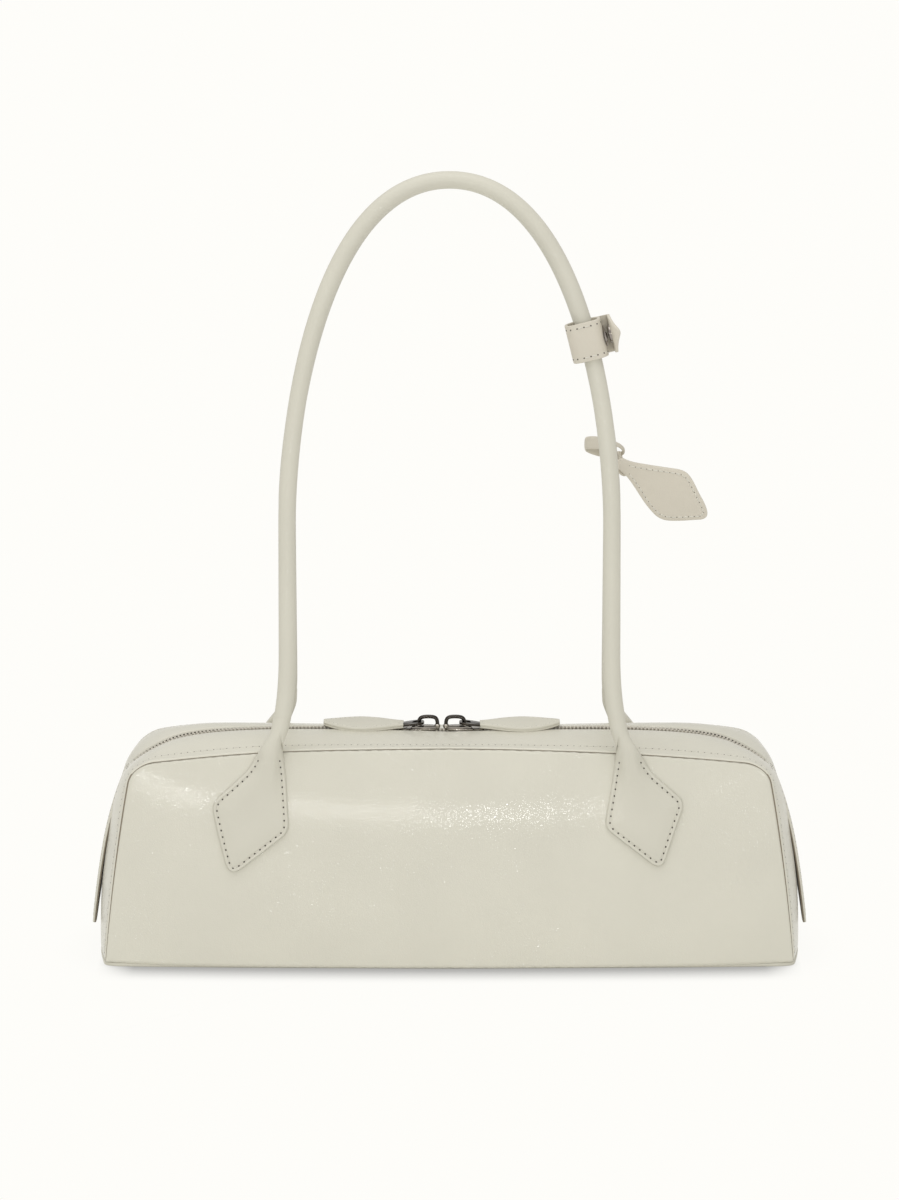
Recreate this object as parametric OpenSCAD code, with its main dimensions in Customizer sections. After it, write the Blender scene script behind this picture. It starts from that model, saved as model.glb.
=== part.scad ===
// Small long shoulder bag of the baguette kind, in pale leather, standing on its base.
// X runs along the bag, -Y is the front, Z is up. The origin is on the floor under the
// middle of the base. Soft walls are thin curved sheets; metal parts are true solids.

/* [Body] */
// Length of the base between its corners
base_length = 350; // [300:5:400]
// Depth of the base at mid length
base_depth = 95; // [84:1:105]
// Depth of the base at its corners
corner_depth = 86; // [74:1:92]
// Depth between the front and the rear top seam
top_depth = 69; // [60:1:76]
// Height of the two top seams at mid length
seam_height = 111.3; // [100:0.1:122]
// Rise of the top strips from their seam to the zip
crown = 2.6; // [1.5:0.1:4]
// How far the ends bulge out beyond the seams
end_bulge = 9; // [5:0.5:12]
// Thickness of the body leather
leather = 1.6; // [1.2:0.1:2]
// Thickness of the lining cloth
lining = 0.5; // [0.3:0.1:0.8]
// Thickness of the board inside the base
board = 1.2; // [0.8:0.1:2]
// Thickness of the base leather
base_leather = 2.2; // [1.6:0.1:3]

/* [Handles] */
// Diameter of the rolled handles
handle_d = 8.8; // [7:0.1:11]
// Diameter of the rope core inside a handle
core_d = 5.6; // [4:0.1:6.6]
// Height of the top of the front handle's centre line
handle_top = 395.8; // [340:0.1:430]
// How much lower the rear handle ends
rear_drop = 1.3; // [0:0.1:4]
// Half the distance between the legs of the front handle
leg_spread = 81.5; // [70:0.5:92]
// How much wider each leg of the rear handle stands
rear_spread = 1.9; // [0:0.1:4]
// Sideways flare of a leg at its foot
foot_flare = 8.5; // [4:0.5:12]
// Height of the foot of a handle's centre line
foot_height = 104; // [98:0.5:106]
// Distance of the two handles' centre lines from mid depth at the top
handle_gap = 7; // [6:0.5:10]
// Thickness of the diamond patches
patch = 1.5; // [1:0.1:2]

/* [Zip] */
// Half the width of the slot between the top strips
zip_slot = 5; // [4.6:0.1:6.5]
// Half the width of the closed tooth chain
chain_half = 2.9; // [2.4:0.1:3.4]
// Spacing of the teeth
tooth_pitch = 2.4; // [2:0.1:3]
// Length of a slider body
slider_length = 21; // [16:0.5:24]
// Width of a slider body
slider_width = 9; // [7:0.1:9.2]
// Where the two sliders meet, measured from mid length
meet_x = -4; // [-12:0.5:12]
// Length of a leather puller
puller_length = 41; // [32:0.5:46]
// Width of a leather puller
puller_width = 20; // [14:0.5:22]
// Thickness of a leather puller
puller_thick = 2.8; // [2.4:0.1:3.2]

/* [Tabs, keeper and tag] */
// Thickness of the end tabs
tab_thick = 2.2; // [1.6:0.1:3]
// Width of an end tab at its widest
tab_width = 25; // [18:1:32]
// Width of the keeper band across the handle
keeper_width = 17.8; // [16:0.1:20]
// Height of the keeper band along the handle
keeper_height = 19.5; // [15:0.5:24]
// Thickness of the keeper leather
keeper_leather = 1.6; // [1.2:0.1:2]
// Diameter of the keeper's snap
snap_d = 10.5; // [8:0.1:11]
// Length of the keeper flap along its curve
flap_length = 17; // [15:0.5:20]
// Thickness of the hanging tag
tag_thick = 2.4; // [1.8:0.1:3.2]
// Width of the tag's strap
strap_width = 8; // [6:0.5:10]
// Thickness of the tag's strap
strap_thick = 1.4; // [1:0.1:1.8]

/* [Hidden] */

// Clearances
body_gap = 0.35;
seat_gap = 0.3;
layer_gap = 0.2;
slide_gap = 0.3;
fit_gap = 0.1;
weld = 0.02;
overrun = 1;
share_step = 0.01;

// Finenesses of curved sheets and tubes
corner_cells = 4;
top_cells = 16;
panel_rows = 9;
band_steps = 18;
band_rows = 6;
zip_steps = 52;
lining_corner_cells = 2;
lining_cells = 8;
lining_rows = 7;
tube_sides = 10;
round_fn = 48;
arc_steps = 6;

half_length = base_length / 2;
zip_height = seam_height + crown;
seam_start = base_leather + seat_gap;
handle_r = handle_d / 2;

// Outline of the front panel, as shares of half the base length and of the seam height
side_shares = [[1, 0], [0.976, 0.449], [0.934, 0.827]];
corner_shares = [[0.934, 0.827], [0.926, 0.925], [0.851, 0.936]];
top_shares = [[0.851, 0.936], [0.457, 0.995], [0, 1]];
// The same outline along mid depth, where the zip and the ends run; the bulge is added
mid_side_shares = [[1, 0], [1, 0.452], [0.934, 0.781]];
mid_side_bulge_shares = [0.39, 1, 0.23];
mid_corner_shares = [[0.934, 0.781], [0.907, 0.909], [0.812, 0.948]];
mid_corner_bulge_shares = [0.23, 0.2, 0.1];
mid_top_shares = [[0.812, 0.948], [0.623, 1.011], [0, 1]];
mid_top_bulge_shares = [0.1, 0.1, 0];
// Where the side ends and where the corner ends along the outline, and where the zip ends
corner_share = 0.5;
top_share = 0.7;
zip_end_share = 0.575;
// Share of the panel's width that lies between the two rounded corners
flat_width_share = 0.9;

function lerp(a, b, t) = a + (b - a) * t;
// Point of a quadratic curve through three control points
function curve(p, t) = (1 - t) * (1 - t) * p[0] + 2 * t * (1 - t) * p[1] + t * t * p[2];
function cubic(p, t) = pow(1 - t, 3) * p[0] + 3 * t * pow(1 - t, 2) * p[1]
    + 3 * t * t * (1 - t) * p[2] + pow(t, 3) * p[3];

function seam_points(shares) =
    [for (s = shares) [s[0] * half_length, seam_start + s[1] * (seam_height - seam_start)]];
function mid_points(shares, bulges) =
    [for (i = [0:2]) [shares[i][0] * half_length + bulges[i] * end_bulge,
        seam_start + shares[i][1] * (zip_height - seam_start)]];

seam_side = seam_points(side_shares);
seam_corner = seam_points(corner_shares);
seam_top = seam_points(top_shares);
mid_side = mid_points(mid_side_shares, mid_side_bulge_shares);
mid_corner = mid_points(mid_corner_shares, mid_corner_bulge_shares);
mid_top = mid_points(mid_top_shares, mid_top_bulge_shares);

// Both outlines run from the base corner (0) up the side and along the top to the middle (1)
function along(side, corner, top, t) =
    t < corner_share ? curve(side, t / corner_share)
    : t < top_share ? curve(corner, (t - corner_share) / (top_share - corner_share))
    : curve(top, (t - top_share) / (1 - top_share));
function seam(t) = along(seam_side, seam_corner, seam_top, t);
function mid(t) = along(mid_side, mid_corner, mid_top, t);

// Half the depth between the two seams at a height
seam_draw = (corner_depth - top_depth) / 2;
function seam_depth(z) = corner_depth / 2 - seam_draw * pow(z / seam_height, 2);

// Outward direction across the outline, level with mid depth
function across(t) = let (a = mid(max(t - share_step, 0)), b = mid(min(t + share_step, 1)),
        d = b - a)
    [-d[1], d[0]] / -norm(d);

// Band of leather round the front panel: w is 0 at the front seam and 1 at mid depth
function band(t, w, inset) = let (s = seam(t), m = mid(t), g = sin(90 * w), n = across(t),
        q = lerp(s, m, g) - inset * n)
    [q[0], -seam_depth(s[1]) * (1 - w), q[1]];
// Share of the way to mid depth at which the band lies a given distance behind the seam
function behind(t, distance) = distance / seam_depth(seam(t)[1]);

// Front panel: u runs from -1 to 1 along the bag and v from 0 at the base to 1 at the top
pillow = (base_depth - corner_depth) / 2;
pillow_power = 1.6;
end_power = 4;
bow_power = 3;
function top_place(u) = abs(u) <= flat_width_share
    ? 1 - (1 - top_share) * abs(u) / flat_width_share
    : top_share - (top_share - corner_share)
        * min(1, (abs(u) - flat_width_share) / (1 - flat_width_share));
function panel_flat(u, v) = let (low = [abs(u) * half_length, seam_start],
        high = seam(top_place(u)), side = seam(corner_share * v),
        chord = lerp(seam(0), seam(corner_share), v))
    lerp(low, high, v) + (side - chord) * pow(abs(u), bow_power);
function panel(u, v, inset) = let (q = panel_flat(u, v))
    [sign(u) * q[0],
     -seam_depth(q[1]) - pillow * (1 - pow(u, end_power)) * cos(90 * pow(v, pillow_power))
         + inset, q[1]];
// The shares u and v of the panel's point at a given place, found in a few rounds
function panel_share(x, z, u, v, rounds) = let (q = panel_flat(u, v))
    rounds == 0 ? [u, v]
    : panel_share(x, z, u * x / q[0], v * (z - seam_start) / (q[1] - seam_start), rounds - 1);

// Half of the base's outline, from mid front round the right end to mid rear
function base_edge(inset) = concat(
    [for (i = [0:top_cells]) let (u = i / top_cells)
        [u * (half_length - inset), panel(u, 0, 0)[1] + inset]],
    [for (i = [1:2 * band_rows - 1]) let (w = i / band_rows,
            g = w < 1 ? w : 2 - w, q = band(0, g, inset),
            y = lerp(-corner_depth / 2 + inset, 0, g))
        [max(q[0], half_length - inset), w < 1 ? y : -y]],
    [for (i = [top_cells:-1:0]) let (u = i / top_cells)
        [u * (half_length - inset), -panel(u, 0, 0)[1] - inset]]);
module base_plate(inset, low, thick) {
    right = base_edge(inset);
    left = [for (i = [len(right) - 2:-1:1]) [-right[i][0], right[i][1]]];
    translate([0, 0, low]) linear_extrude(thick) polygon(concat(right, left));
}

// Solid sheet between an outer and an inner grid of points of the same size
module sheet(outer, inner) {
    m = len(outer);
    n = len(outer[0]);
    k = m * n;
    quads = concat(
        [for (i = [0:m - 2], j = [0:n - 2])
            [i * n + j, (i + 1) * n + j, (i + 1) * n + j + 1, i * n + j + 1]],
        [for (i = [0:m - 2], j = [0:n - 2])
            [k + i * n + j, k + i * n + j + 1, k + (i + 1) * n + j + 1, k + (i + 1) * n + j]],
        [for (i = [0:m - 2]) [i * n, k + i * n, k + (i + 1) * n, (i + 1) * n]],
        [for (i = [0:m - 2]) [(i + 1) * n - 1, (i + 2) * n - 1, k + (i + 2) * n - 1,
            k + (i + 1) * n - 1]],
        [for (j = [0:n - 2]) [j, j + 1, k + j + 1, k + j]],
        [for (j = [0:n - 2]) [(m - 1) * n + j, k + (m - 1) * n + j, k + (m - 1) * n + j + 1,
            (m - 1) * n + j + 1]]);
    points = concat([for (row = outer) each row], [for (row = inner) each row]);
    polyhedron(points, [for (q = quads) each [[q[0], q[1], q[2]], [q[0], q[2], q[3]]]]);
}

// Places along the panel's width, closer together in the rounded corners
function width_places(ends, middle) = concat(
    [for (i = [-ends:-1]) i / ends * (1 - flat_width_share) - flat_width_share],
    [for (i = [-middle / 2:middle / 2]) i / middle * 2 * flat_width_share],
    [for (i = [1:ends]) flat_width_share + i / ends * (1 - flat_width_share)]);
module wall_sheet(places, low, high, rows, skin, back) {
    function face(inset) = [for (u = places) [for (j = [0:rows])
        panel(u, lerp(low, high, j / rows), inset)]];
    sheet(face(skin), face(back));
}

// Piece of the band on the front right quarter between two places, drawn across mid depth
// where full is true, otherwise stopping short of mid depth by the given slot
function band_grid(from, to, steps, setback, slot, inset, full) =
    [for (i = [0:steps]) let (t = lerp(from, to, i / steps), a = behind(t, setback),
            b = full ? 1 : 1 - behind(t, slot))
        concat([for (j = [0:band_rows]) band(t, lerp(a, b, j / band_rows), inset)],
            full ? [for (j = [band_rows - 1:-1:0])
                let (p = band(t, lerp(a, b, j / band_rows), inset)) [p[0], -p[1], p[2]]] : [])];
module end_sheet(from, to, setback, skin, back)
    sheet(band_grid(from, to, band_steps, setback, 0, skin, true),
        band_grid(from, to, band_steps, setback, 0, back, true));
module strip_sheet(setback, slot, skin, back) {
    function grid(inset) = let (half = band_grid(strip_from, 1, band_steps, setback, slot,
            inset, false))
        concat(half, [for (i = [band_steps - 1:-1:0]) [for (p = half[i]) [-p[0], p[1], p[2]]]]);
    sheet(grid(skin), grid(back));
}
strip_from = zip_end_share;

module front_panel() color([0.84, 0.82, 0.77])
    wall_sheet(width_places(corner_cells, top_cells), 0, 1, panel_rows, 0, leather);
module rear_panel() color([0.84, 0.82, 0.77]) mirror([0, 1, 0])
    wall_sheet(width_places(corner_cells, top_cells), 0, 1, panel_rows, 0, leather);
module base_panel() color([0.78, 0.76, 0.7]) base_plate(0, 0, base_leather);

// The ends stop just short of the strips, which open with the walls
gusset_setback = leather + body_gap;
gusset_to_share = zip_end_share - 0.004;
module gusset_right() color([0.8, 0.78, 0.72])
    end_sheet(0, gusset_to_share, gusset_setback, 0, leather);
module gusset_left() color([0.8, 0.78, 0.72]) mirror([1, 0, 0])
    end_sheet(0, gusset_to_share, gusset_setback, 0, leather);

strip_setback = leather + layer_gap;
module top_strip_front() color([0.83, 0.81, 0.75])
    strip_sheet(strip_setback, zip_slot, 0, leather);
module top_strip_rear() color([0.83, 0.81, 0.75]) mirror([0, 1, 0])
    strip_sheet(strip_setback, zip_slot, 0, leather);

// The zip lies a little below the crown of the strips
tape_thick = 0.5;
tooth_rise = 1.6;
chain_sink = 0.4;
tape_seam = 4;
tape_half = zip_slot + tape_seam;
zip_from_share = zip_end_share + 0.018;
chain_steps = floor(2 * mid(zip_from_share)[0] / tooth_pitch) + 1;
tooth_shares = [0.1, 0.2, 0.7, 0.8];
function zip_place(s) = lerp(zip_from_share, 1, 1 - abs(s));
// Point on the zip line sunk by a depth; s runs from -1 at the left end to 1 at the right
function zip_point(s, depth) = let (t = zip_place(s), q = mid(t) - depth * across(t))
    [sign(s) * q[0], q[1]];
function ribbon(n, top, bottom) = concat(
    [for (i = [0:n]) zip_point(lerp(-1, 1, i / n), top)],
    [for (i = [n:-1:0]) zip_point(lerp(-1, 1, i / n), bottom)]);
// Comb of teeth: every tooth is a raised step on a low rib
function comb(n, top, root, bottom) = concat(
    [for (i = [0:n - 1], j = [0:3])
        zip_point(lerp(-1, 1, (i + tooth_shares[j]) / n), j == 0 || j == 3 ? root : top)],
    [for (i = [zip_steps:-1:0]) zip_point(lerp(-1, 1, i / zip_steps), bottom)]);
module across_y(from, to) translate([0, to, 0]) rotate([90, 0, 0])
    linear_extrude(to - from) children();
tape_top = chain_sink + tooth_rise + body_gap;
module tape_half_strip() across_y(-tape_half, -body_gap / 2)
    polygon(ribbon(zip_steps, tape_top, tape_top + tape_thick));
module tooth_row() across_y(-chain_half, -body_gap / 2)
    polygon(comb(chain_steps, chain_sink, chain_sink + tooth_rise / 2,
        chain_sink + tooth_rise));
module zip_tape_front() color([0.74, 0.72, 0.66]) tape_half_strip();
module zip_tape_rear() color([0.74, 0.72, 0.66]) mirror([0, 1, 0]) tape_half_strip();
module zip_teeth_front() color([0.62, 0.6, 0.55]) tooth_row();
module zip_teeth_rear() color([0.62, 0.6, 0.55]) mirror([0, 1, 0]) tooth_row();

// A crimped metal stop closes each end of the zip, sewn to the end piece
stop_shares = [0.003, 0.012];
module zip_stop_shape() {
    from = gusset_to_share + stop_shares[0];
    to = gusset_to_share + stop_shares[1];
    n = across(from);
    ends = [mid(from), mid(to)];
    across_y(-chain_half, chain_half) polygon([ends[0] - chain_sink * n, ends[1] - chain_sink * n,
        ends[1] - (chain_sink + tooth_rise) * n, ends[0] - (chain_sink + tooth_rise) * n]);
}
module zip_stops() color([0.35, 0.34, 0.33]) {
    zip_stop_shape();
    mirror([1, 0, 0]) zip_stop_shape();
}

// Sliders: a body that runs on the chain with an arch on its inner end for the link
slider_low = zip_height - chain_sink + slide_gap;
slider_high = 2.3;
slider_tail_high = 1.2;
slider_step = 15.5;
slider_step_share = 0.74;
arch_length = 11.4;
arch_rise = 5.4;
arch_wire = 2;
arch_thick = 2.2;
slider_space = 2.5;
nose_taper = 1.6;
slider_shoulder = 1.8;
module slider() {
    body = slider_length;
    half = slider_width / 2;
    step = min(slider_step, body * slider_step_share);
    translate([0, 0, slider_low]) linear_extrude(slider_high)
        polygon([[0, -half + nose_taper], [nose_taper, -half], [step, -half], [step, half],
            [nose_taper, half], [0, half - nose_taper]]);
    translate([0, 0, slider_low]) linear_extrude(slider_tail_high)
        polygon([[step - weld, -half], [step + nose_taper, -half],
            [body, -half + slider_shoulder], [body, half - slider_shoulder],
            [step + nose_taper, half], [step - weld, half]]);
    translate([0, 0, slider_low + slider_high]) across_y(-arch_thick / 2, arch_thick / 2)
        difference() {
            polygon(arch_outline(0));
            polygon(arch_outline(arch_wire));
        }
}
// Flat-topped arch drawn in by the wire's width for its opening
function arch_outline(wire) = let (low = wire > 0 ? -overrun : -weld,
        a = wire, b = arch_length - wire, top = arch_rise - wire, cut = arch_rise / 2)
    [[a, low], [a, top - cut + wire / 2], [a + cut - wire / 2, top],
     [b - cut + wire / 2, top], [b, top - cut + wire / 2], [b, low]];
left_slider_x = meet_x - slider_space / 2;
right_slider_x = meet_x + slider_space / 2;
module slider_right() color([0.32, 0.31, 0.3]) translate([right_slider_x, 0, 0]) slider();
module slider_left() color([0.32, 0.31, 0.3]) translate([left_slider_x, 0, 0])
    mirror([1, 0, 0]) slider();

// Flat link: its bar lies in the arch, its rails pass the outer leg and its tail is sewn in
// the puller. It is held high enough for the opening strips to pass under the puller.
link_thick = 1.2;
link_bar = 1.4;
link_width = 9;
link_eye_half = 2.6;
link_tail = 7.5;
link_tail_width = 6;
strip_slope = (base_depth / 2 - zip_slot) / zip_height;
puller_low = zip_height + body_gap + max(0, puller_width / 2 - zip_slot) * strip_slope;
link_z = puller_low + puller_thick / 2;
link_bar_x = arch_length - arch_wire - norm([link_bar, link_thick]) / 2 - fit_gap;
link_reach = 5.6;
puller_start = arch_length + 6.9;
link_neck = puller_start - fit_gap;
module pull_link() translate([0, 0, link_z - link_thick / 2]) linear_extrude(link_thick)
    difference() {
        polygon([[link_bar_x - link_bar / 2, -link_width / 2],
            [link_bar_x + link_reach, -link_width / 2],
            [link_neck, -link_tail_width / 2], [link_neck + link_tail, -link_tail_width / 2],
            [link_neck + link_tail, link_tail_width / 2], [link_neck, link_tail_width / 2],
            [link_bar_x + link_reach, link_width / 2],
            [link_bar_x - link_bar / 2, link_width / 2]]);
        translate([link_bar_x + link_bar / 2, -link_eye_half])
            square([link_reach - link_bar / 2, 2 * link_eye_half]);
    }
module pull_link_right() color([0.3, 0.29, 0.28]) translate([right_slider_x, 0, 0]) pull_link();
module pull_link_left() color([0.3, 0.29, 0.28]) translate([left_slider_x, 0, 0])
    mirror([1, 0, 0]) pull_link();

// Leather puller: a long leaf of two layers round the tail of the link
puller_half_shares = [[0, 0.4], [0.14, 0.56], [0.35, 0.88], [0.52, 1], [0.68, 0.92],
    [0.86, 0.62], [0.97, 0.34], [1, 0.16]];
module puller() difference() {
    translate([0, 0, link_z - puller_thick / 2]) linear_extrude(puller_thick)
        polygon(concat([for (s = puller_half_shares)
            [puller_start + s[0] * puller_length, s[1] * puller_width / 2]],
            [for (i = [len(puller_half_shares) - 1:-1:0]) let (s = puller_half_shares[i])
                [puller_start + s[0] * puller_length, -s[1] * puller_width / 2]]));
    translate([puller_start - overrun, -link_tail_width / 2 - fit_gap,
        link_z - link_thick / 2 - fit_gap])
        cube([link_neck + link_tail - puller_start + overrun + fit_gap,
            link_tail_width + 2 * fit_gap, link_thick + 2 * fit_gap]);
}
module puller_right() color([0.83, 0.8, 0.75]) translate([right_slider_x, 0, 0]) puller();
module puller_left() color([0.83, 0.8, 0.75]) translate([left_slider_x, 0, 0])
    mirror([1, 0, 0]) puller();

// End tab: a long leaf sewn under the end of the zip that hangs down over the gusset
tab_top_share = 0.525;
tab_low_share = 0.06;
tab_flare = 2.2;
tab_steps = 14;
tab_half_shares = [[0, 0.36], [0.12, 0.4], [0.4, 0.78], [0.62, 1], [0.8, 0.86], [0.94, 0.5],
    [0.985, 0.34], [1, 0.2]];
function tab_point(s, depth) = let (t = lerp(tab_top_share, tab_low_share, s))
    mid(t) + (body_gap + tab_flare * pow(s, 4) + depth) * across(t);
module end_tab() {
    top = mid(tab_top_share)[1] + tab_thick;
    low = tab_point(1, 0)[1] - weld;
    intersection() {
        across_y(-tab_width / 2, tab_width / 2) polygon(concat(
            [for (i = [0:tab_steps]) tab_point(i / tab_steps, 0)],
            [for (i = [tab_steps:-1:0]) tab_point(i / tab_steps, tab_thick)]));
        translate([half_length - base_length / 4, 0, 0]) rotate([90, 0, 90])
            linear_extrude(base_length / 3) polygon(concat(
                [for (s = tab_half_shares) [s[1] * tab_width / 2, lerp(top, low, s[0])]],
                [for (i = [len(tab_half_shares) - 1:-1:0]) let (s = tab_half_shares[i])
                    [-s[1] * tab_width / 2, lerp(top, low, s[0])]]));
    }
}
module end_tab_right() color([0.8, 0.78, 0.72]) end_tab();
module end_tab_left() color([0.8, 0.78, 0.72]) mirror([1, 0, 0]) end_tab();

// Handles: an upright arch leaning in from its feet at the wall to near mid depth
foot_below_seam = 5.3;
foot_z = min(foot_height, seam_height - foot_below_seam);
foot_x = leg_spread + foot_flare;
foot_y = seam_depth(foot_z) + pillow / 6 + body_gap + handle_r;
leg_low = 56;
leg_high = 121;
arch_ease = 50;
rear_arch_ease = 32;
arch_ease_share = 0.815;
leg_ease = 15;
foot_ease = 14;
path_steps = 7;
function handle_half(spread, top, ease) = let (low = foot_z + leg_low,
        high = foot_z + leg_high)
    concat(
        [for (i = [0:path_steps - 1]) cubic([[foot_x, foot_z],
            [foot_x - foot_ease / 4, foot_z + foot_ease],
            [spread, low - 2 * leg_ease], [spread, low]], i / path_steps)],
        [for (i = [0:3]) lerp([spread, low], [spread, high], i / 4)],
        [for (i = [0:2 * path_steps]) cubic([[spread, high], [spread, high + ease],
            [spread * arch_ease_share, top], [0, top]], i / (2 * path_steps))]);
function handle_flat(spread, top, ease) = let (half = handle_half(spread, top, ease))
    concat(half, [for (i = [len(half) - 2:-1:0]) [-half[i][0], half[i][1]]]);
// Depth of the leaning handle at a height
function handle_y(z, top) = lerp(foot_y, handle_gap, (z - foot_z) / (top - foot_z));
function handle_path(spread, top, ease) =
    [for (p = handle_flat(spread, top, ease)) [p[0], -handle_y(p[1], top), p[1]]];
// Rings of points round a path that lies in a leaning plane
function rings(path, radius, top) = let (n = len(path) - 1,
        lean = [0, foot_y - handle_gap, top - foot_z], up = lean / norm(lean),
        out = cross([1, 0, 0], up))
    [for (i = [0:n]) let (d = path[min(i + 1, n)] - path[max(i - 1, 0)], along = d / norm(d),
            side = cross(along, out))
        [for (j = [0:tube_sides - 1]) let (a = 360 * j / tube_sides)
            path[i] + radius * (cos(a) * out + sin(a) * side)]];
module rod(rings_list) {
    n = len(rings_list);
    m = tube_sides;
    polyhedron([for (r = rings_list) each r], concat(
        [for (i = [0:n - 2], j = [0:m - 1]) each [
            [i * m + j, i * m + (j + 1) % m, (i + 1) * m + (j + 1) % m],
            [i * m + j, (i + 1) * m + (j + 1) % m, (i + 1) * m + j]]],
        [[for (j = [m - 1:-1:0]) j]], [[for (j = [0:m - 1]) (n - 1) * m + j]]));
}
module tube(outer, inner) {
    n = len(outer);
    m = tube_sides;
    k = n * m;
    polyhedron(concat([for (r = outer) each r], [for (r = inner) each r]), concat(
        [for (i = [0:n - 2], j = [0:m - 1]) each [
            [i * m + j, i * m + (j + 1) % m, (i + 1) * m + (j + 1) % m],
            [i * m + j, (i + 1) * m + (j + 1) % m, (i + 1) * m + j]]],
        [for (i = [0:n - 2], j = [0:m - 1]) each [
            [k + i * m + j, k + (i + 1) * m + (j + 1) % m, k + i * m + (j + 1) % m],
            [k + i * m + j, k + (i + 1) * m + j, k + (i + 1) * m + (j + 1) % m]]],
        [for (j = [0:m - 1]) each [
            [j, k + j, k + (j + 1) % m], [j, k + (j + 1) % m, (j + 1) % m]]],
        [for (j = [0:m - 1]) let (a = (n - 1) * m) each [
            [a + j, a + (j + 1) % m, k + a + (j + 1) % m],
            [a + j, k + a + (j + 1) % m, k + a + j]]]));
}
core_r = core_d / 2;
module handle_skin(spread, top, ease) {
    path = handle_path(spread, top, ease);
    tube(rings(path, handle_r, top), rings(path, core_r + layer_gap, top));
}
module handle_core(spread, top, ease) {
    path = handle_path(spread, top, ease);
    rod(rings(path, core_r, top));
}
rear_leg = leg_spread + rear_spread;
rear_top = handle_top - rear_drop;
module handle_front() color([0.82, 0.81, 0.75])
    handle_skin(leg_spread, handle_top, arch_ease);
module handle_rear() color([0.82, 0.81, 0.75]) mirror([0, 1, 0])
    handle_skin(rear_leg, rear_top, rear_arch_ease);
module handle_core_front() color([0.7, 0.66, 0.58])
    handle_core(leg_spread, handle_top, arch_ease);
module handle_core_rear() color([0.7, 0.66, 0.58]) mirror([0, 1, 0])
    handle_core(rear_leg, rear_top, rear_arch_ease);

// Diamond patches under the feet of the handles, wrapped on the curve of the panel
patch_tip = 51;
patch_height = foot_z - handle_r - body_gap - patch_tip;
patch_reach = 27;
patch_in = 9;
patch_foot = 6;
patch_inner_share = 0.48;
patch_outer_share = 0.64;
patch_tip_reach = 17.5;
patch_tip_width = 1.5;
patch_curl = 1.5;
patch_cells = 6;
// Inner and outer edge of the right patch at a share of its height from the tip
function patch_inner(s) = s < patch_inner_share
    ? lerp(patch_tip_reach, -patch_in, s / patch_inner_share)
    : lerp(-patch_in, -patch_foot, (s - patch_inner_share) / (1 - patch_inner_share));
function patch_outer(s) = s < patch_outer_share
    ? lerp(patch_tip_reach + patch_tip_width, patch_reach, s / patch_outer_share)
    : patch_foot + (patch_reach - patch_foot)
        * pow(1 - (s - patch_outer_share) / (1 - patch_outer_share), patch_curl);
patch_rounds = 6;
function on_panel(x, z, inset) = let (p = panel_share(x, z, x / half_length,
        (z - seam_start) / (seam_height - seam_start), patch_rounds))
    panel(p[0], p[1], inset);
module patch_sheet() {
    function face(inset) = [for (i = [0:patch_cells]) [for (j = [0:2 * patch_cells])
        let (s = j / (2 * patch_cells), x = foot_x
                + lerp(patch_inner(s), patch_outer(s), i / patch_cells))
        on_panel(x, patch_tip + s * patch_height, inset)]];
    sheet(face(-layer_gap - patch), face(-layer_gap));
}
module patch_front_right() color([0.83, 0.81, 0.76]) patch_sheet();
module patch_front_left() color([0.83, 0.81, 0.76]) mirror([1, 0, 0]) patch_sheet();
module patch_rear_right() color([0.83, 0.81, 0.76]) mirror([0, 1, 0]) patch_sheet();
module patch_rear_left() color([0.83, 0.81, 0.76]) mirror([0, 1, 0]) mirror([1, 0, 0])
    patch_sheet();

// Frames on a handle: origin on its centre line, X across it, Y through it, Z along it
front_lean = atan2(foot_y - handle_gap, handle_top - foot_z);
rear_lean = atan2(foot_y - handle_gap, rear_top - foot_z);
keeper_share = 0.445;
keeper_at = cubic([[leg_spread, foot_z + leg_high],
    [leg_spread, foot_z + leg_high + arch_ease],
    [leg_spread * arch_ease_share, handle_top], [0, handle_top]], keeper_share);
keeper_turn = 14;
module on_front_handle() translate([keeper_at[0], -handle_y(keeper_at[1], handle_top),
    keeper_at[1]]) rotate([-front_lean, 0, 0]) rotate([0, -keeper_turn, 0]) children();

// Keeper: a band round the handle, open at its ends, with a snap on its right side
keeper_gap = 0.8;
keeper_half = keeper_width / 2;
keeper_depth = handle_r + keeper_gap + keeper_leather;
keeper_corner = 3;
hinge_gap = 0.3;
flap_thick = 1.5;
snap_thick = 1.5;
socket_thick = 1.3;
flap_root = snap_thick + socket_thick + flap_thick / 2 + body_gap;
function rounded(half_x, half_y, r) = [for (c = [0:3], i = [0:arc_steps])
    let (a = 90 * c + 90 * i / arc_steps, sx = (c == 0 || c == 3) ? 1 : -1,
        sy = c < 2 ? 1 : -1)
    [sx * (half_x - r) + r * cos(a), sy * (half_y - r) + r * sin(a)]];
flap_pivot = [keeper_half + flap_root, keeper_depth - keeper_leather / 2];
module keeper_band() color([0.82, 0.78, 0.72]) on_front_handle()
    translate([0, 0, -keeper_height / 2]) linear_extrude(keeper_height) union() {
        difference() {
            polygon(rounded(keeper_half, keeper_depth, keeper_corner));
            polygon(rounded(keeper_half - keeper_leather, keeper_depth - keeper_leather,
                keeper_corner - keeper_leather));
        }
        translate([keeper_half - keeper_corner, keeper_depth - keeper_leather])
            square([flap_root + keeper_corner - flap_thick / 2 - hinge_gap, keeper_leather]);
    }
module snap_stud() color([0.45, 0.44, 0.42]) on_front_handle()
    translate([keeper_half + fit_gap, 0, 0]) rotate([0, 90, 0])
        cylinder(h = snap_thick - fit_gap, d = snap_d, $fn = round_fn);
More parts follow.
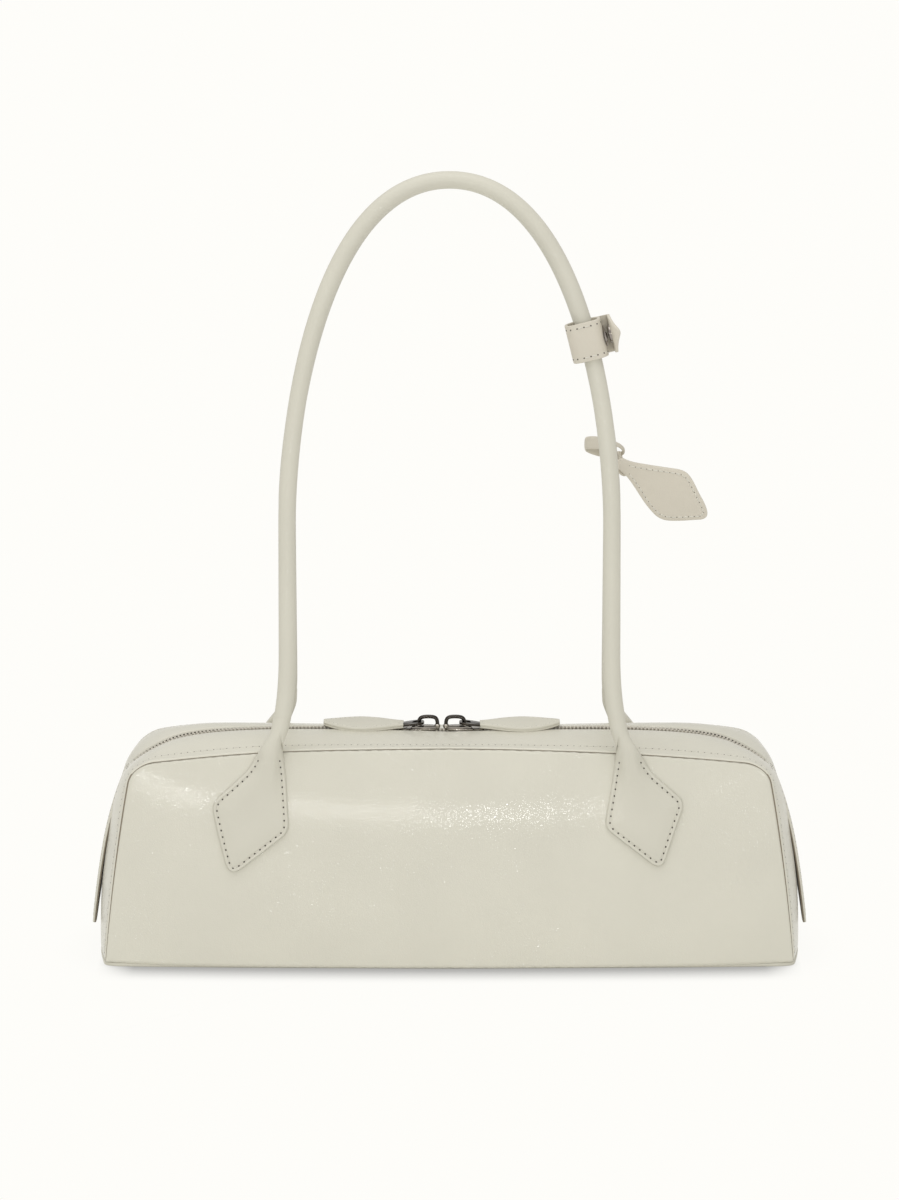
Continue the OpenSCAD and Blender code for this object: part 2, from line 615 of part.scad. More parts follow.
// The flap lies closed on the stud at rest and its pointed end curls away from the band
flap_curl = 52;
flap_steps = 5;
flap_nose_share = 0.07;
socket_share = 0.9;
flap_flat = flap_pivot[1] + snap_d / 2;
flap_bend = max(flap_length - flap_flat, flap_thick) * 180 / (PI * flap_curl);
function flap_line(side) = [for (i = [0:flap_steps]) let (a = flap_curl * i / flap_steps)
    [flap_bend * (1 - cos(a)) + side * cos(a), -flap_flat - (flap_bend - side) * sin(a)]];
function turned_back(points) = [for (i = [len(points) - 1:-1:0]) points[i]];
module on_flap() on_front_handle() translate([flap_pivot[0], flap_pivot[1], 0]) children();
module keeper_flap() color([0.78, 0.73, 0.67]) on_flap() intersection() {
    translate([0, 0, -keeper_height / 2]) linear_extrude(keeper_height)
        polygon(concat([[flap_thick / 2, 0]], flap_line(flap_thick / 2),
            turned_back(flap_line(-flap_thick / 2)), [[-flap_thick / 2, 0]]));
    tip = -flap_flat - flap_bend * sin(flap_curl) - flap_thick / 2;
    rotate([90, 0, 90]) linear_extrude(2 * flap_length, center = true)
        polygon([[flap_thick, -keeper_height / 2], [flap_thick, keeper_height / 2],
            [-flap_flat, keeper_height / 2], [tip, keeper_height * flap_nose_share],
            [tip, -keeper_height * flap_nose_share], [-flap_flat, -keeper_height / 2]]);
}
module snap_socket() color([0.45, 0.44, 0.42]) on_flap()
    translate([-flap_thick / 2 - socket_thick, -flap_pivot[1], 0]) rotate([0, 90, 0])
        cylinder(h = socket_thick - fit_gap, d = snap_d * socket_share, $fn = round_fn);

// Tag: a strap looped round the rear handle and a stitched leaf that swings from it
tag_share = 0.2;
tag_at = cubic([[rear_leg, foot_z + leg_high],
    [rear_leg, foot_z + leg_high + rear_arch_ease],
    [rear_leg * arch_ease_share, rear_top], [0, rear_top]], tag_share);
module on_rear_handle() translate([tag_at[0], handle_y(tag_at[1], rear_top), tag_at[1]])
    rotate([rear_lean, 0, 0]) children();
loop_gap = 0.8;
loop_half = 10;
loop_depth = handle_r + loop_gap + strap_thick;
loop_corner = 3.5;
tail_in = 4.5;
tail_drop = 13;
module tag_strap() color([0.78, 0.76, 0.7]) on_rear_handle() {
    translate([0, 0, -strap_width / 2]) linear_extrude(strap_width) difference() {
        polygon(rounded(loop_half, loop_depth, loop_corner));
        polygon(rounded(loop_half - strap_thick, loop_depth - strap_thick,
            loop_corner - strap_thick));
    }
    across_y(-loop_depth, -loop_depth + strap_thick)
        polygon([[tail_in, 0], [tail_in, -tail_drop], [loop_half, -tail_drop],
            [loop_half - strap_thick, 0]]);
}
// Leaf outline in the leaning plane, from the neck to the far corner, in shares of its length
leaf_length = 52;
leaf_angle = -32.5;
leaf_start = [5.5, -5.5];
leaf_top_shares = [[0, 0.06], [0.13, 0.075], [0.32, 0.15], [0.5, 0.23], [0.62, 0.265],
    [0.7, 0.25], [0.86, 0.14], [0.97, 0.045], [1, 0]];
leaf_low_shares = [[0.97, -0.045], [0.9, -0.11], [0.72, -0.24], [0.62, -0.265], [0.52, -0.235],
    [0.34, -0.15], [0.15, -0.08], [0, -0.06]];
module tag_leaf() color([0.8, 0.78, 0.71]) on_rear_handle()
    translate([leaf_start[0], 0, leaf_start[1]]) rotate([0, -leaf_angle, 0])
        across_y(-loop_depth - layer_gap - tag_thick, -loop_depth - layer_gap)
            polygon([for (s = concat(leaf_top_shares, leaf_low_shares)) s * leaf_length]);

// Inside: lining cloth, a board in the base and a slip pocket on the rear wall
lining_place = leather + layer_gap;
lining_low_share = 0.04;
lining_high_share = 0.94;
lining_width_share = 0.955;
module wall_lining() wall_sheet(
    [for (u = width_places(lining_corner_cells, lining_cells)) u * lining_width_share],
    lining_low_share, lining_high_share, lining_rows, lining_place, lining_place + lining);
module lining_front() color([0.86, 0.83, 0.76]) wall_lining();
module lining_rear() color([0.86, 0.83, 0.76]) mirror([0, 1, 0]) wall_lining();
lining_setback = lining_place + lining + 3 * body_gap;
lining_end_shares = [0.03, 0.55];
module end_lining() end_sheet(lining_end_shares[0], lining_end_shares[1], lining_setback,
    lining_place, lining_place + lining);
module lining_end_right() color([0.86, 0.83, 0.76]) end_lining();
module lining_end_left() color([0.86, 0.83, 0.76]) mirror([1, 0, 0]) end_lining();
base_inset = leather + 2 * body_gap + layer_gap + lining;
board_low = base_leather + layer_gap;
module base_board() color([0.6, 0.52, 0.4]) base_plate(base_inset, board_low, board);
module lining_base() color([0.86, 0.83, 0.76])
    base_plate(base_inset, board_low + board + layer_gap, lining);
pocket_width_share = 0.4;
pocket_low_share = 0.15;
pocket_high_share = 0.72;
pocket_cells = 8;
module inner_pocket() color([0.82, 0.79, 0.72]) mirror([0, 1, 0]) wall_sheet(
    [for (i = [-pocket_cells:pocket_cells]) pocket_width_share * i / pocket_cells],
    pocket_low_share, pocket_high_share, lining_rows,
    lining_place + lining + layer_gap, lining_place + 2 * lining + layer_gap);

front_panel();
rear_panel();
base_panel();
gusset_left();
gusset_right();
top_strip_front();
top_strip_rear();
zip_tape_front();
zip_tape_rear();
zip_teeth_front();
zip_teeth_rear();
zip_stops();
slider_left();
slider_right();
pull_link_left();
pull_link_right();
puller_left();
puller_right();
end_tab_left();
end_tab_right();
handle_front();
handle_rear();
handle_core_front();
handle_core_rear();
patch_front_left();
patch_front_right();
patch_rear_left();
patch_rear_right();
keeper_band();
keeper_flap();
snap_stud();
snap_socket();
tag_leaf();
tag_strap();
lining_front();
lining_rear();
lining_base();
lining_end_left();
lining_end_right();
base_board();
inner_pocket();
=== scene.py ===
import math

import bpy
import mathutils
import numpy as np
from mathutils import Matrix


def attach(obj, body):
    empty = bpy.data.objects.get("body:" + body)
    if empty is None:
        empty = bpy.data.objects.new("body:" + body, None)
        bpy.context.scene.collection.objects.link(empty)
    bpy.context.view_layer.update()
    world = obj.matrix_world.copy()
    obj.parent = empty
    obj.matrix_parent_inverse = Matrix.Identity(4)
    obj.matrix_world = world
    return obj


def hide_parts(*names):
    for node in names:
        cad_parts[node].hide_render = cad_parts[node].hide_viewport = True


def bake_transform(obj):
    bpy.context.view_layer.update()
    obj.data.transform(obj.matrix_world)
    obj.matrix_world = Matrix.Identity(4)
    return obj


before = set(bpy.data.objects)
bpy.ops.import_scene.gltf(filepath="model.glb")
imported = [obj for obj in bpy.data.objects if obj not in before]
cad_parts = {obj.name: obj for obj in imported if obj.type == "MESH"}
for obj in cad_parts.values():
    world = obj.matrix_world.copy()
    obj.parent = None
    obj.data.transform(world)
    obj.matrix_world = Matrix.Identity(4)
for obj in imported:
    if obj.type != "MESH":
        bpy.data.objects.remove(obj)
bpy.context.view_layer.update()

# Body leather, shared by every outer piece of the bag.
# Pale grey-cream calfskin with a satin finish and a fine pebble grain that breaks up the
# light where it turns, a little uneven in tone over a hand's width.
MM = 0.001


def paint(name, colour, rough, **sockets):
    """New node material with plain values set on its shader's own sockets."""
    made = bpy.data.materials.new(name)
    made.use_nodes = True
    inputs = made.node_tree.nodes["Principled BSDF"].inputs
    inputs["Base Color"].default_value = (*colour, 1.0)
    inputs["Roughness"].default_value = rough
    for key, value in sockets.items():
        inputs[key.replace("_", " ")].default_value = value
    return made


def add_node(owner, kind, **inputs):
    """New node with its named inputs set to plain values."""
    node = owner.node_tree.nodes.new(kind)
    for key, value in inputs.items():
        node.inputs[key.replace("_", " ")].default_value = value
    return node


def link(owner, out_node, out_name, in_node, in_name):
    """Joins an output to an input, both by name or number."""
    owner.node_tree.links.new(out_node.outputs[out_name], in_node.inputs[in_name])


def ramp(owner, source, source_name, low, high, in_low=0.3, in_high=0.7):
    """Map Range node that carries a source value from one span to another."""
    node = add_node(owner, "ShaderNodeMapRange", From_Min=in_low, From_Max=in_high,
                    To_Min=low, To_Max=high)
    link(owner, source, source_name, node, "Value")
    return node


def maths(owner, operation, *terms):
    """Math node over its terms, each a number or a node and the name of its output."""
    node = add_node(owner, "ShaderNodeMath")
    node.operation = operation
    for slot, term in enumerate(terms):
        if isinstance(term, tuple):
            link(owner, *term, node, slot)
        else:
            node.inputs[slot].default_value = term
    return node


def bumped(owner, shader, height, strength, distance, socket="Normal"):
    """Bump on one of the shader's normals; the height is a node and its output."""
    bump = add_node(owner, "ShaderNodeBump", Strength=strength, Distance=distance)
    link(owner, *height, bump, "Height")
    link(owner, bump, "Normal", shader, socket)


def textured(owner, where, kind, **inputs):
    """Texture node of a kind, laid out in the piece's own coordinates."""
    node = add_node(owner, "ShaderNodeTex" + kind, **inputs)
    link(owner, where, "Object", node, "Vector")
    return node


def toned(name, colour, rough, dark, light, scale, **sockets):
    """Paint that drifts between a darker and a lighter share of its colour on a noise, with
    its shader and its coordinates."""
    made = paint(name, colour, rough, **sockets)
    shader = made.node_tree.nodes["Principled BSDF"]
    where = add_node(made, "ShaderNodeTexCoord")
    noise = textured(made, where, "Noise", Scale=scale, Detail=3.0)
    mix = add_node(made, "ShaderNodeMix")
    mix.data_type = "RGBA"
    for key, share in (("A", dark), ("B", light)):
        mix.inputs[key].default_value = (*[min(c * share, 1.0) for c in colour], 1.0)
    link(made, ramp(made, noise, "Fac", 0.0, 1.0), "Result", mix, "Factor")
    link(made, mix, "Result", shader, "Base Color")
    return made, shader, where


def leather(name, colour, rough, grain, cell=760.0, coat=0.0):
    """Leather: soft tone drift under a finish that breaks up on fine pebbles, which are
    flat-topped with narrow creases between them."""
    made, shader, where = toned(name, colour, rough, 0.975, 1.02, 22.0, Coat_Weight=coat,
                                Specular_IOR_Level=0.24, Coat_Roughness=0.08)
    cells = textured(made, where, "Voronoi", Scale=cell, Randomness=1.0)
    cells.feature = "DISTANCE_TO_EDGE"
    warp = textured(made, where, "Noise", Scale=cell * 0.8, Detail=2.0)
    pores = textured(made, where, "Noise", Scale=cell * 2.2, Detail=2.0)
    tops = ramp(made, cells, "Distance", 0.0, 0.6, 0.0, 0.1)
    total = maths(made, "ADD", (warp, "Fac"), (tops, "Result"))
    fine = maths(made, "MULTIPLY_ADD", (pores, "Fac"), 0.08, (total, 0))
    bumped(made, shader, (fine, 0), grain * 0.4, 0.00022)
    bumped(made, shader, (fine, 0), grain, 0.00022, "Coat Normal")
    soft = ramp(made, warp, "Fac", rough - 0.05, rough + 0.07)
    link(made, soft, "Result", shader, "Roughness")
    return made


def metal(name, colour, rough=0.12):
    """Polished plated metal with faint handling marks in its gloss."""
    made, shader, where = toned(name, colour, rough, 0.82, 1.12, 260.0, Metallic=1.0)
    marks = textured(made, where, "Noise", Scale=900.0, Detail=4.0)
    soft = ramp(made, marks, "Fac", rough * 0.7, rough * 1.5)
    link(made, soft, "Result", shader, "Roughness")
    bumped(made, shader, (marks, "Fac"), 0.12, 0.0001)
    return made


def cloth(name, colour, scale=1500.0):
    """Plain woven cloth: two crossed wave bumps over a soft tone drift."""
    made, shader, where = toned(name, colour, 0.85, 0.94, 1.03, 60.0, Sheen_Weight=0.15)
    waves = []
    for axis in "XZ":
        wave = textured(made, where, "Wave", Scale=scale / 6.0)
        wave.bands_direction = axis
        waves.append((wave, "Fac"))
    bumped(made, shader, (maths(made, "ADD", *waves), 0), 0.4, 0.0002)
    return made


BODY = leather("body_leather", (0.674, 0.656, 0.566), 0.52, 0.34, coat=0.52)
TRIM = leather("trim_leather", (0.645, 0.627, 0.541), 0.50, 0.3, coat=0.10)
PALE = leather("tab_leather", (0.662, 0.620, 0.530), 0.50, 0.4)
BACK = leather("leather_back", (0.60, 0.53, 0.44), 0.75, 0.5, cell=1600.0)
# Dark brown for cut edges and faces under the leather: edge ink on the cut edges, and painted
# shade in the dark lines under the strips, gussets, end tabs and pullers.
EDGE_INK_AND_SHADE = paint("edge_ink_and_painted_shade", (0.22, 0.185, 0.135), 0.6)
THREAD = cloth("thread", (0.72, 0.70, 0.62), 3000.0)
HOLE_SHADE = paint("needle_hole_painted_shade", (0.055, 0.045, 0.035), 0.9)
LINING = cloth("lining_cloth", (0.70, 0.66, 0.56))
# Zip tape in a dark colour that paints the shade in the gaps between the teeth, where alone it
# shows.
TAPE_SHADE = cloth("zip_tape", (0.30, 0.27, 0.22), 2600.0)
TOOTH = leather("zip_teeth", (0.58, 0.545, 0.47), 0.35, 0.1)
NICKEL = metal("dark_nickel", (0.062, 0.055, 0.048))
PLATE = metal("slider_nickel", (0.40, 0.37, 0.33))
BRIGHT = metal("bright_nickel", (0.34, 0.31, 0.28))


def placed(name, data):
    """New object in the scene."""
    made = bpy.data.objects.new(name, data)
    bpy.context.scene.collection.objects.link(made)
    return made


def piece(name, points, faces, materials, slots=None, smooth=40.0):
    """New object from points in millimetres. Faces turn at sharp edges over the angle."""
    mesh = bpy.data.meshes.new(name)
    mesh.from_pydata((points * MM).tolist(), [], faces)
    for material in materials:
        mesh.materials.append(material)
    if slots is not None:
        mesh.polygons.foreach_set("material_index", np.asarray(slots, np.int32))
    mesh.polygons.foreach_set("use_smooth", np.ones(len(mesh.polygons), bool))
    mesh.set_sharp_from_angle(angle=math.radians(smooth))
    mesh.validate()
    mesh.update()
    return placed(name, mesh)


def dress(made, slot, body, *nodes):
    """Puts a piece in the place of its CAD nodes, which are hidden, on a rigid body if one is
    given; the slot is not used.
    """
    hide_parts(*nodes)
    if body:
        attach(made, body)


def bezier(points, t):
    """Point of a curve at t, found by mixing neighbouring control points again and again."""
    t = np.asarray(t, float)[..., None]
    q = [p + 0 * t for p in points]
    while len(q) > 1:
        q = [a + (b - a) * t for a, b in zip(q, q[1:])]
    return q[0]


# Bag body: the outlines that all its walls share.
# The front panel is a long low shape with rounded top corners, drawn in towards the top;
# the zip and the two ends follow a second outline at mid depth that bulges further out.
HALF, SEAM_TOP, ZIP_TOP, FLOOR_GAP = 175.0, 111.3, 113.9, 2.5
CORNER_T, TOP_T, END_T = 0.5, 0.7, 0.5725
SEAM = [[(1, 0), (0.976, 0.449), (0.934, 0.827)],
        [(0.934, 0.827), (0.926, 0.925), (0.851, 0.936)],
        [(0.851, 0.936), (0.457, 0.995), (0, 1)]]
MIDS = [[(1, 0), (1, 0.452), (0.934, 0.781)],
        [(0.934, 0.781), (0.917, 0.870), (0.812, 0.948)],
        [(0.812, 0.948), (0.680, 1.037), (0, 1)]]
BULGE = [[0.50, 0.66, 0.4], [0.4, 0.32, 0.1], [0.1, 0.1, 0]]
PUFF, END_BULGE, DEEP_LOW, DEEP_LESS = 1.8, 9.0, 43.0, 8.5
SEAM_MM = [[(HALF * a, FLOOR_GAP + b * (SEAM_TOP - FLOOR_GAP)) for a, b in row]
           for row in SEAM]
MIDS_MM = [[(HALF * a + g * END_BULGE, FLOOR_GAP + b * (ZIP_TOP - FLOOR_GAP))
            for (a, b), g in zip(row, bulge)] for row, bulge in zip(MIDS, BULGE)]


def unit(v):
    """Vectors made one long."""
    return v / np.maximum(np.linalg.norm(v, axis=-1, keepdims=True), 1e-9)


def stood(flat, y):
    """Points (x, z) of an upright drawing put at a depth y."""
    return np.stack([flat[..., 0], np.broadcast_to(y, flat.shape[:-1]), flat[..., 1]], -1)


def along(curves, t):
    """Outline point: t runs from the base corner, 0, up the side and to mid top, 1."""
    side = bezier(curves[0], np.clip(t / CORNER_T, 0, 1))
    corner = bezier(curves[1], np.clip((t - CORNER_T) / (TOP_T - CORNER_T), 0, 1))
    top = bezier(curves[2], np.clip((t - TOP_T) / (1 - TOP_T), 0, 1))
    pick = t[..., None]
    return np.where(pick < CORNER_T, side, np.where(pick < TOP_T, corner, top))


def across(t):
    """Outward direction of the outline at mid depth."""
    d = along(MIDS_MM, np.minimum(t + 0.01, 1)) - along(MIDS_MM, np.maximum(t - 0.01, 0))
    return unit(np.stack([d[..., 1], -d[..., 0]], -1))


def seam_depth(z):
    """Half the depth between the front and rear seams at a height."""
    return DEEP_LOW - DEEP_LESS * (z / SEAM_TOP) ** 2


def rounding(distance, radius):
    """How far a surface drops at a distance from its rounded edge."""
    d = np.clip(distance, 0, radius)
    return radius - np.sqrt(np.maximum(radius ** 2 - (radius - d) ** 2, 0))


def ease(x):
    """Smooth step from 0 to 1."""
    x = np.clip(x, 0, 1)
    return x * x * (3 - 2 * x)


def band(t, w, inset=0.0):
    """Band between the front seam, w 0, and mid depth, w 1, set in by a distance."""
    t, w = np.broadcast_arrays(t, w)
    s, m = along(SEAM_MM, t), along(MIDS_MM, t)
    puff = PUFF * np.sin(np.pi * w) * ease((t - 0.3) / 0.15) * ease((0.95 - t) / 0.2)
    q = s + (m - s) * np.sin(np.pi / 2 * w)[..., None] + (puff - inset)[..., None] * across(t)
    return stood(q, -seam_depth(s[..., 1]) * (1 - w))


def grid_faces(rows, cols, wrap=False):
    """Quads of a grid of points; wrap joins the last column to the first."""
    i, j = np.meshgrid(np.arange(rows - 1), np.arange(cols if wrap else cols - 1),
                       indexing="ij")
    k = (j + 1) % cols
    quads = np.stack([i * cols + j, i * cols + k, (i + 1) * cols + k, (i + 1) * cols + j], -1)
    return quads.reshape(-1, 4)


def orient(points, faces):
    """Faces turned outwards, judged by the sign of the volume that they enclose."""
    fans = np.array([(f[0], b, c) for f in faces for b, c in zip(f[1:-1], f[2:])])
    p = points[fans]
    volume = np.sum(p[:, 0] * np.cross(p[:, 1], p[:, 2]))
    return faces if volume > 0 else [f[::-1] for f in faces]


def shell(outer, inner):
    """Closed sheet between two grids of the same size; its outer faces come first."""
    rows, cols = outer.shape[:2]
    n, quads = rows * cols, grid_faces(rows, cols)
    i, j = np.arange(rows - 1) * cols, np.arange(cols - 1)
    right, last = i + cols - 1, (rows - 1) * cols + j
    faces = np.concatenate([
        quads[:, ::-1], quads + n,
        np.stack([i, i + cols, n + i + cols, n + i], -1),
        np.stack([right, n + right, n + right + cols, right + cols], -1),
        np.stack([j, n + j, n + j + 1, j + 1], -1),
        np.stack([last, last + 1, n + last + 1, n + last], -1)]).tolist()
    points = np.concatenate([outer.reshape(-1, 3), inner.reshape(-1, 3)])
    return points, orient(points, faces)


def under_slots(faces, shape):
    """Material slots of a shell's faces: 0 on its outer face, 1 below it and round its rim."""
    cells = (shape[0] - 1) * (shape[1] - 1)
    return np.repeat([0, 1], [cells, len(faces) - cells])


def settled(points):
    """Height that the stuffed bag gains or loses at its two top edges: the rear one lies
    nearly level, low at mid length and high near its ends, and the front one is a little
    higher on its left. Both fade out towards mid depth and down the walls."""
    x, y, z = points[..., 0], points[..., 1], points[..., 2]
    rear = 2.5 * np.exp(-((np.abs(x) - 137) / 27) ** 2) - 2.9 * np.exp(-np.abs(x / 75) ** 2.2)
    front = 0.9 * np.exp(-((x + 95) / 45) ** 2)
    share = np.clip(np.abs(y) / (DEEP_LOW - DEEP_LESS), 0, 1) ** 0.7 * ease((z - 65) / 40)
    return np.where(y > 0, rear, front) * share


def quadrant(points, side_x, side_y):
    """Points of the front right quarter carried to another quarter of the bag."""
    moved = points * [side_x, -side_y, 1.0]
    moved[..., 2] += settled(moved)
    return moved


def closer(count, ends, near=(0.0, 0.3, 0.6, 1.0, 1.5, 2.2, 3.2), length=100.0):
    """Shares from 0 to 1, evenly spread, with more of them near the ends asked for."""
    close = np.array(near) / length
    parts = [np.linspace(0, 1, count)]
    parts += [close] if ends[0] else []
    parts += [1 - close] if ends[1] else []
    return np.unique(np.round(np.concatenate(parts), 6))


WALLS = {-1: "front_wall", 1: "rear_wall"}
SIDES = {-1: "left", 1: "right"}
FACES = {-1: "front", 1: "rear"}
QUARTERS = [(x, y) for y in (-1, 1) for x in (-1, 1)]


def soften(made):
    """Soft piece: its placement is baked into its points."""
    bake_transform(made)


def quarter_piece(name, node, slot, sheets, side_x, side_y, materials):
    """Sheet between two grids of the front right quarter, carried to its own quarter. A
    second material goes below the sheet and round its rim."""
    points, faces = shell(*[quadrant(sheet, side_x, side_y) for sheet in sheets])
    slots = under_slots(faces, sheets[0].shape) if len(materials) > 1 else None
    made = piece(name, points, faces, materials, slots)
    dress(made, slot, None, node)
    soften(made)


# Front and rear panels.
# One soft hide each, full over its middle, turned in round all its edges where it is sewn,
# drawn here in a left and a right half.
FLAT_U, PILLOW, MID_PILLOW = 0.9, 5.2, 1.3
OUTLINE = np.concatenate([along(SEAM_MM, np.linspace(0, 1, 700)),
                          np.stack([np.linspace(0, HALF, 300), np.full(300, FLOOR_GAP)], -1)])


def panel_flat(u, v):
    """Place on the flat panel, u across from the middle and v up from the base."""
    u, v = np.broadcast_arrays(u, v)
    place = np.where(u <= FLAT_U, 1 - (1 - TOP_T) * u / FLAT_U,
                     TOP_T - (TOP_T - CORNER_T) * (u - FLAT_U) / (1 - FLAT_U))
    low = np.stack([u * HALF, np.full_like(u, FLOOR_GAP)], -1)
    corner = along(SEAM_MM, np.array([0.0, CORNER_T]))
    chord = corner[0] + (corner[1] - corner[0]) * v[..., None]
    bow = along(SEAM_MM, CORNER_T * v) - chord
    return low + (along(SEAM_MM, place) - low) * v[..., None] + bow * (u ** 3)[..., None]


def panel_y(u, v, z):
    """Depth of the front panel's outer face, full in the middle and flat at its edges."""
    full = (PILLOW * (1 - u ** 4) + MID_PILLOW * np.exp(-(u / 0.35) ** 2)) * (1 - v ** 4)
    return -seam_depth(z) - full


def fitted(q):
    """The panel's cut: just short of the strip and the gussets, rolled under at mid length."""
    share = (q[..., 1] - FLOOR_GAP) / (SEAM_TOP - FLOOR_GAP)
    x = q[..., 0] - (0.15 + 0.6 * share) * np.clip(q[..., 0] / 160, 0, 1.05) ** 8
    roll = 1.5 * (1 - np.clip(q[..., 0] / HALF, 0, 1) ** 4)
    z = q[..., 1] - 0.45 * share ** 3 - roll * (1 - share) ** 6
    return np.stack([x, z], -1)


def panel(u, v, inset=0.0, edge=1.4):
    """Panel point set in by a distance, its edges rounded over by the edge radius."""
    q = panel_flat(u, v)
    y = panel_y(u, v, q[..., 1])
    flat, rim = fitted(q).reshape(-1, 2), fitted(OUTLINE[::2])
    near = np.min([np.linalg.norm(flat - o, axis=1) for o in rim], axis=0)
    drop = rounding(near.reshape(y.shape), edge)
    flat = flat.reshape(q.shape)
    return stood(flat, y + np.maximum(drop, inset))


u_places = closer(90, (False, True), length=175.0)
v_places = closer(70, (True, True), length=108.0)
cells = np.meshgrid(u_places, v_places, indexing="ij")
panel_sheets = panel(*cells), panel(*cells, 1.5)
for side_x, side_y in QUARTERS:
    face = FACES[side_y]
    quarter_piece(f"{face}_panel_{SIDES[side_x]}", f"{face}_panel", "outer_leather",
                  panel_sheets, side_x, side_y, [BODY])

# End gussets and top strips.
# Both are cut from one band of leather that runs round the panels; the strips are folded
# over along the zip, and the ends bulge out between the two seams.
LEATHER, SLOT, TUCK, TUCK_T = 1.5, 4.6, 0.6, (0.28, 0.55)
FOLD_HIGH, FOLD_WIDE = 0.75, 9.0


def folded_up(far, t):
    """Rise of a strip's folded edge at a distance from its seam; it starts at the corner."""
    return FOLD_HIGH * (1 - np.clip(far / FOLD_WIDE, 0, 1)) ** 2 * ease((t - 0.6) / 0.1)


def tucked(t):
    """Share of the tuck under the end tab that is reached at a place up the outline."""
    return ease((t - TUCK_T[0]) / (TUCK_T[1] - TUCK_T[0]))


def band_piece(name, node, t, side_x, side_y, stop, folded):
    """Quarter of the band over the places t, up to a stop short of mid depth."""
    depth = seam_depth(along(SEAM_MM, t)[..., 1])
    shares = closer(16, (True, folded), length=32.0)
    setback = 0.25 if folded else 0.35
    depth, t = depth[:, None], t[:, None]
    w = (setback + shares * (depth - stop - setback)) / depth
    far, left = (w - w[:, :1]) * depth, (w[:, -1:] - w) * depth
    if folded:
        drop = np.maximum(rounding(far, 0.8), rounding(left, 1.0))
        low = -folded_up(far, t)
    else:
        rise = np.linalg.norm(along(SEAM_MM, t) - SEAM_MM[0][0], axis=-1)
        drop = np.maximum(rounding(far, 0.5), rounding(rise, 2.2))
        low = TUCK * np.exp(-(left / 13.5) ** 4) * tucked(t)
    sheets = [band(t, w, inset + low) for inset in (drop, np.maximum(drop, LEATHER * 0.8))]
    # Under the strips and gussets and round their rims the dark edge colour is edge ink and
    # painted shade in the seam lines.
    quarter_piece(name, node, "outer_leather", sheets, side_x, side_y, [BODY, EDGE_INK_AND_SHADE])


gusset_places = END_T * closer(46, (True, False), length=100.0)
strip_places = END_T + (1 - END_T) * np.linspace(0, 1, 90) ** 1.15
for side_x, side_y in QUARTERS:
    end, face = SIDES[side_x], FACES[side_y]
    band_piece(f"gusset_{end}_{face}", f"gusset_{end}", gusset_places, side_x, side_y, 0.0,
               False)
    band_piece(f"top_strip_{face}_{end}", f"top_strip_{face}", strip_places, side_x, side_y,
               SLOT, True)

# Base.
# A flat stiffened leather bottom with a rolled edge that shows as a pale line under the
# panels; it bows out at mid length and at both ends.
BASE_HIGH = 2.3


def ring_loft(rings, ends=None):
    """Closed skin over a list of rings of equal length, its ends filled with fans round
    their middles or round two given points."""
    rings = np.asarray(rings)
    rows, cols = rings.shape[:2]
    ends = np.stack([rings[0].mean(0), rings[-1].mean(0)]) if ends is None else ends
    n, j = rows * cols, np.arange(cols)
    k = (j + 1) % cols
    fans = np.concatenate([np.stack([n + 0 * j, k, j], -1),
                           np.stack([n + 1 + 0 * j, n - cols + j, n - cols + k], -1)])
    faces = grid_faces(rows, cols, True).tolist() + fans.tolist()
    points = np.concatenate([rings.reshape(-1, 3), ends])
    return points, orient(points, faces)


def at_height(flat, z):
    """Points (x, y) of a level drawing put at a height z."""
    return np.column_stack([flat, np.full(len(flat), z)])


def outward(outline):
    """Directions across a closed flat outline, pointing away from its middle."""
    turn = np.roll(outline, -1, 0) - np.roll(outline, 1, 0)
    n = unit(np.stack([turn[:, 1], -turn[:, 0]], -1))
    return n if np.sum((outline - outline.mean(0)) * n) > 0 else -n


def base_outline(inset):
    """Outline of the base seen from above, its corners rounded off."""
    u = np.linspace(0, 1, 60)
    q = panel_flat(u, np.zeros_like(u))
    front = np.stack([q[:, 0], panel_y(u, 0 * u, q[:, 1])], -1)
    end = band(np.zeros(30), np.linspace(0, 1, 30))[:, :2]
    corner = bezier([front[-4], front[-1], end[3]], np.linspace(0, 1, 9))
    quarter = np.concatenate([front[:-4], corner, end[4:]])
    whole = np.concatenate([quarter, (quarter * [1, -1])[::-1][1:],
                            (quarter * [-1, -1])[1:], (quarter * [-1, 1])[::-1][1:-1]])
    return whole - inset * outward(whole)


base_rings = []
for angle in np.linspace(-90, 90, 11):
    c, s = math.cos(math.radians(angle)), math.sin(math.radians(angle))
    flat = base_outline(1.15 * (1 - c))
    middle = 1.6 * (1 - np.clip(np.abs(flat[:, 0]) / HALF, 0, 1) ** 6)
    flat[:, 1] -= np.sign(flat[:, 1]) * np.minimum(middle, np.abs(flat[:, 1]))
    base_rings.append(at_height(flat, BASE_HIGH / 2 * (1 + s)))
made = piece("base_panel_leather", *ring_loft(base_rings), [TRIM])
dress(made, "base_leather", "base", "base_panel")

# Sewing thread.
# Short sunk stitches about 3.3 mm apart, each between two needle holes drawn as dark
# dots, painted shade on the pale leather.
STITCH, THREAD_R, HOLE_R, SEAM_IN, STRIP_MORE = 3.3, 0.26, 0.38, 3.2, 2.2


def ball(rows=5, cols=8):
    """Unit ball's points and faces, its poles along X."""
    a = np.linspace(0, np.pi, rows + 2)[1:-1, None]
    b = np.linspace(0, 2 * np.pi, cols, endpoint=False)
    ring = np.stack([np.cos(a) + 0 * b, np.sin(a) * np.cos(b), np.sin(a) * np.sin(b)], -1)
    return ring_loft(ring, [[1, 0, 0], [-1, 0, 0]])


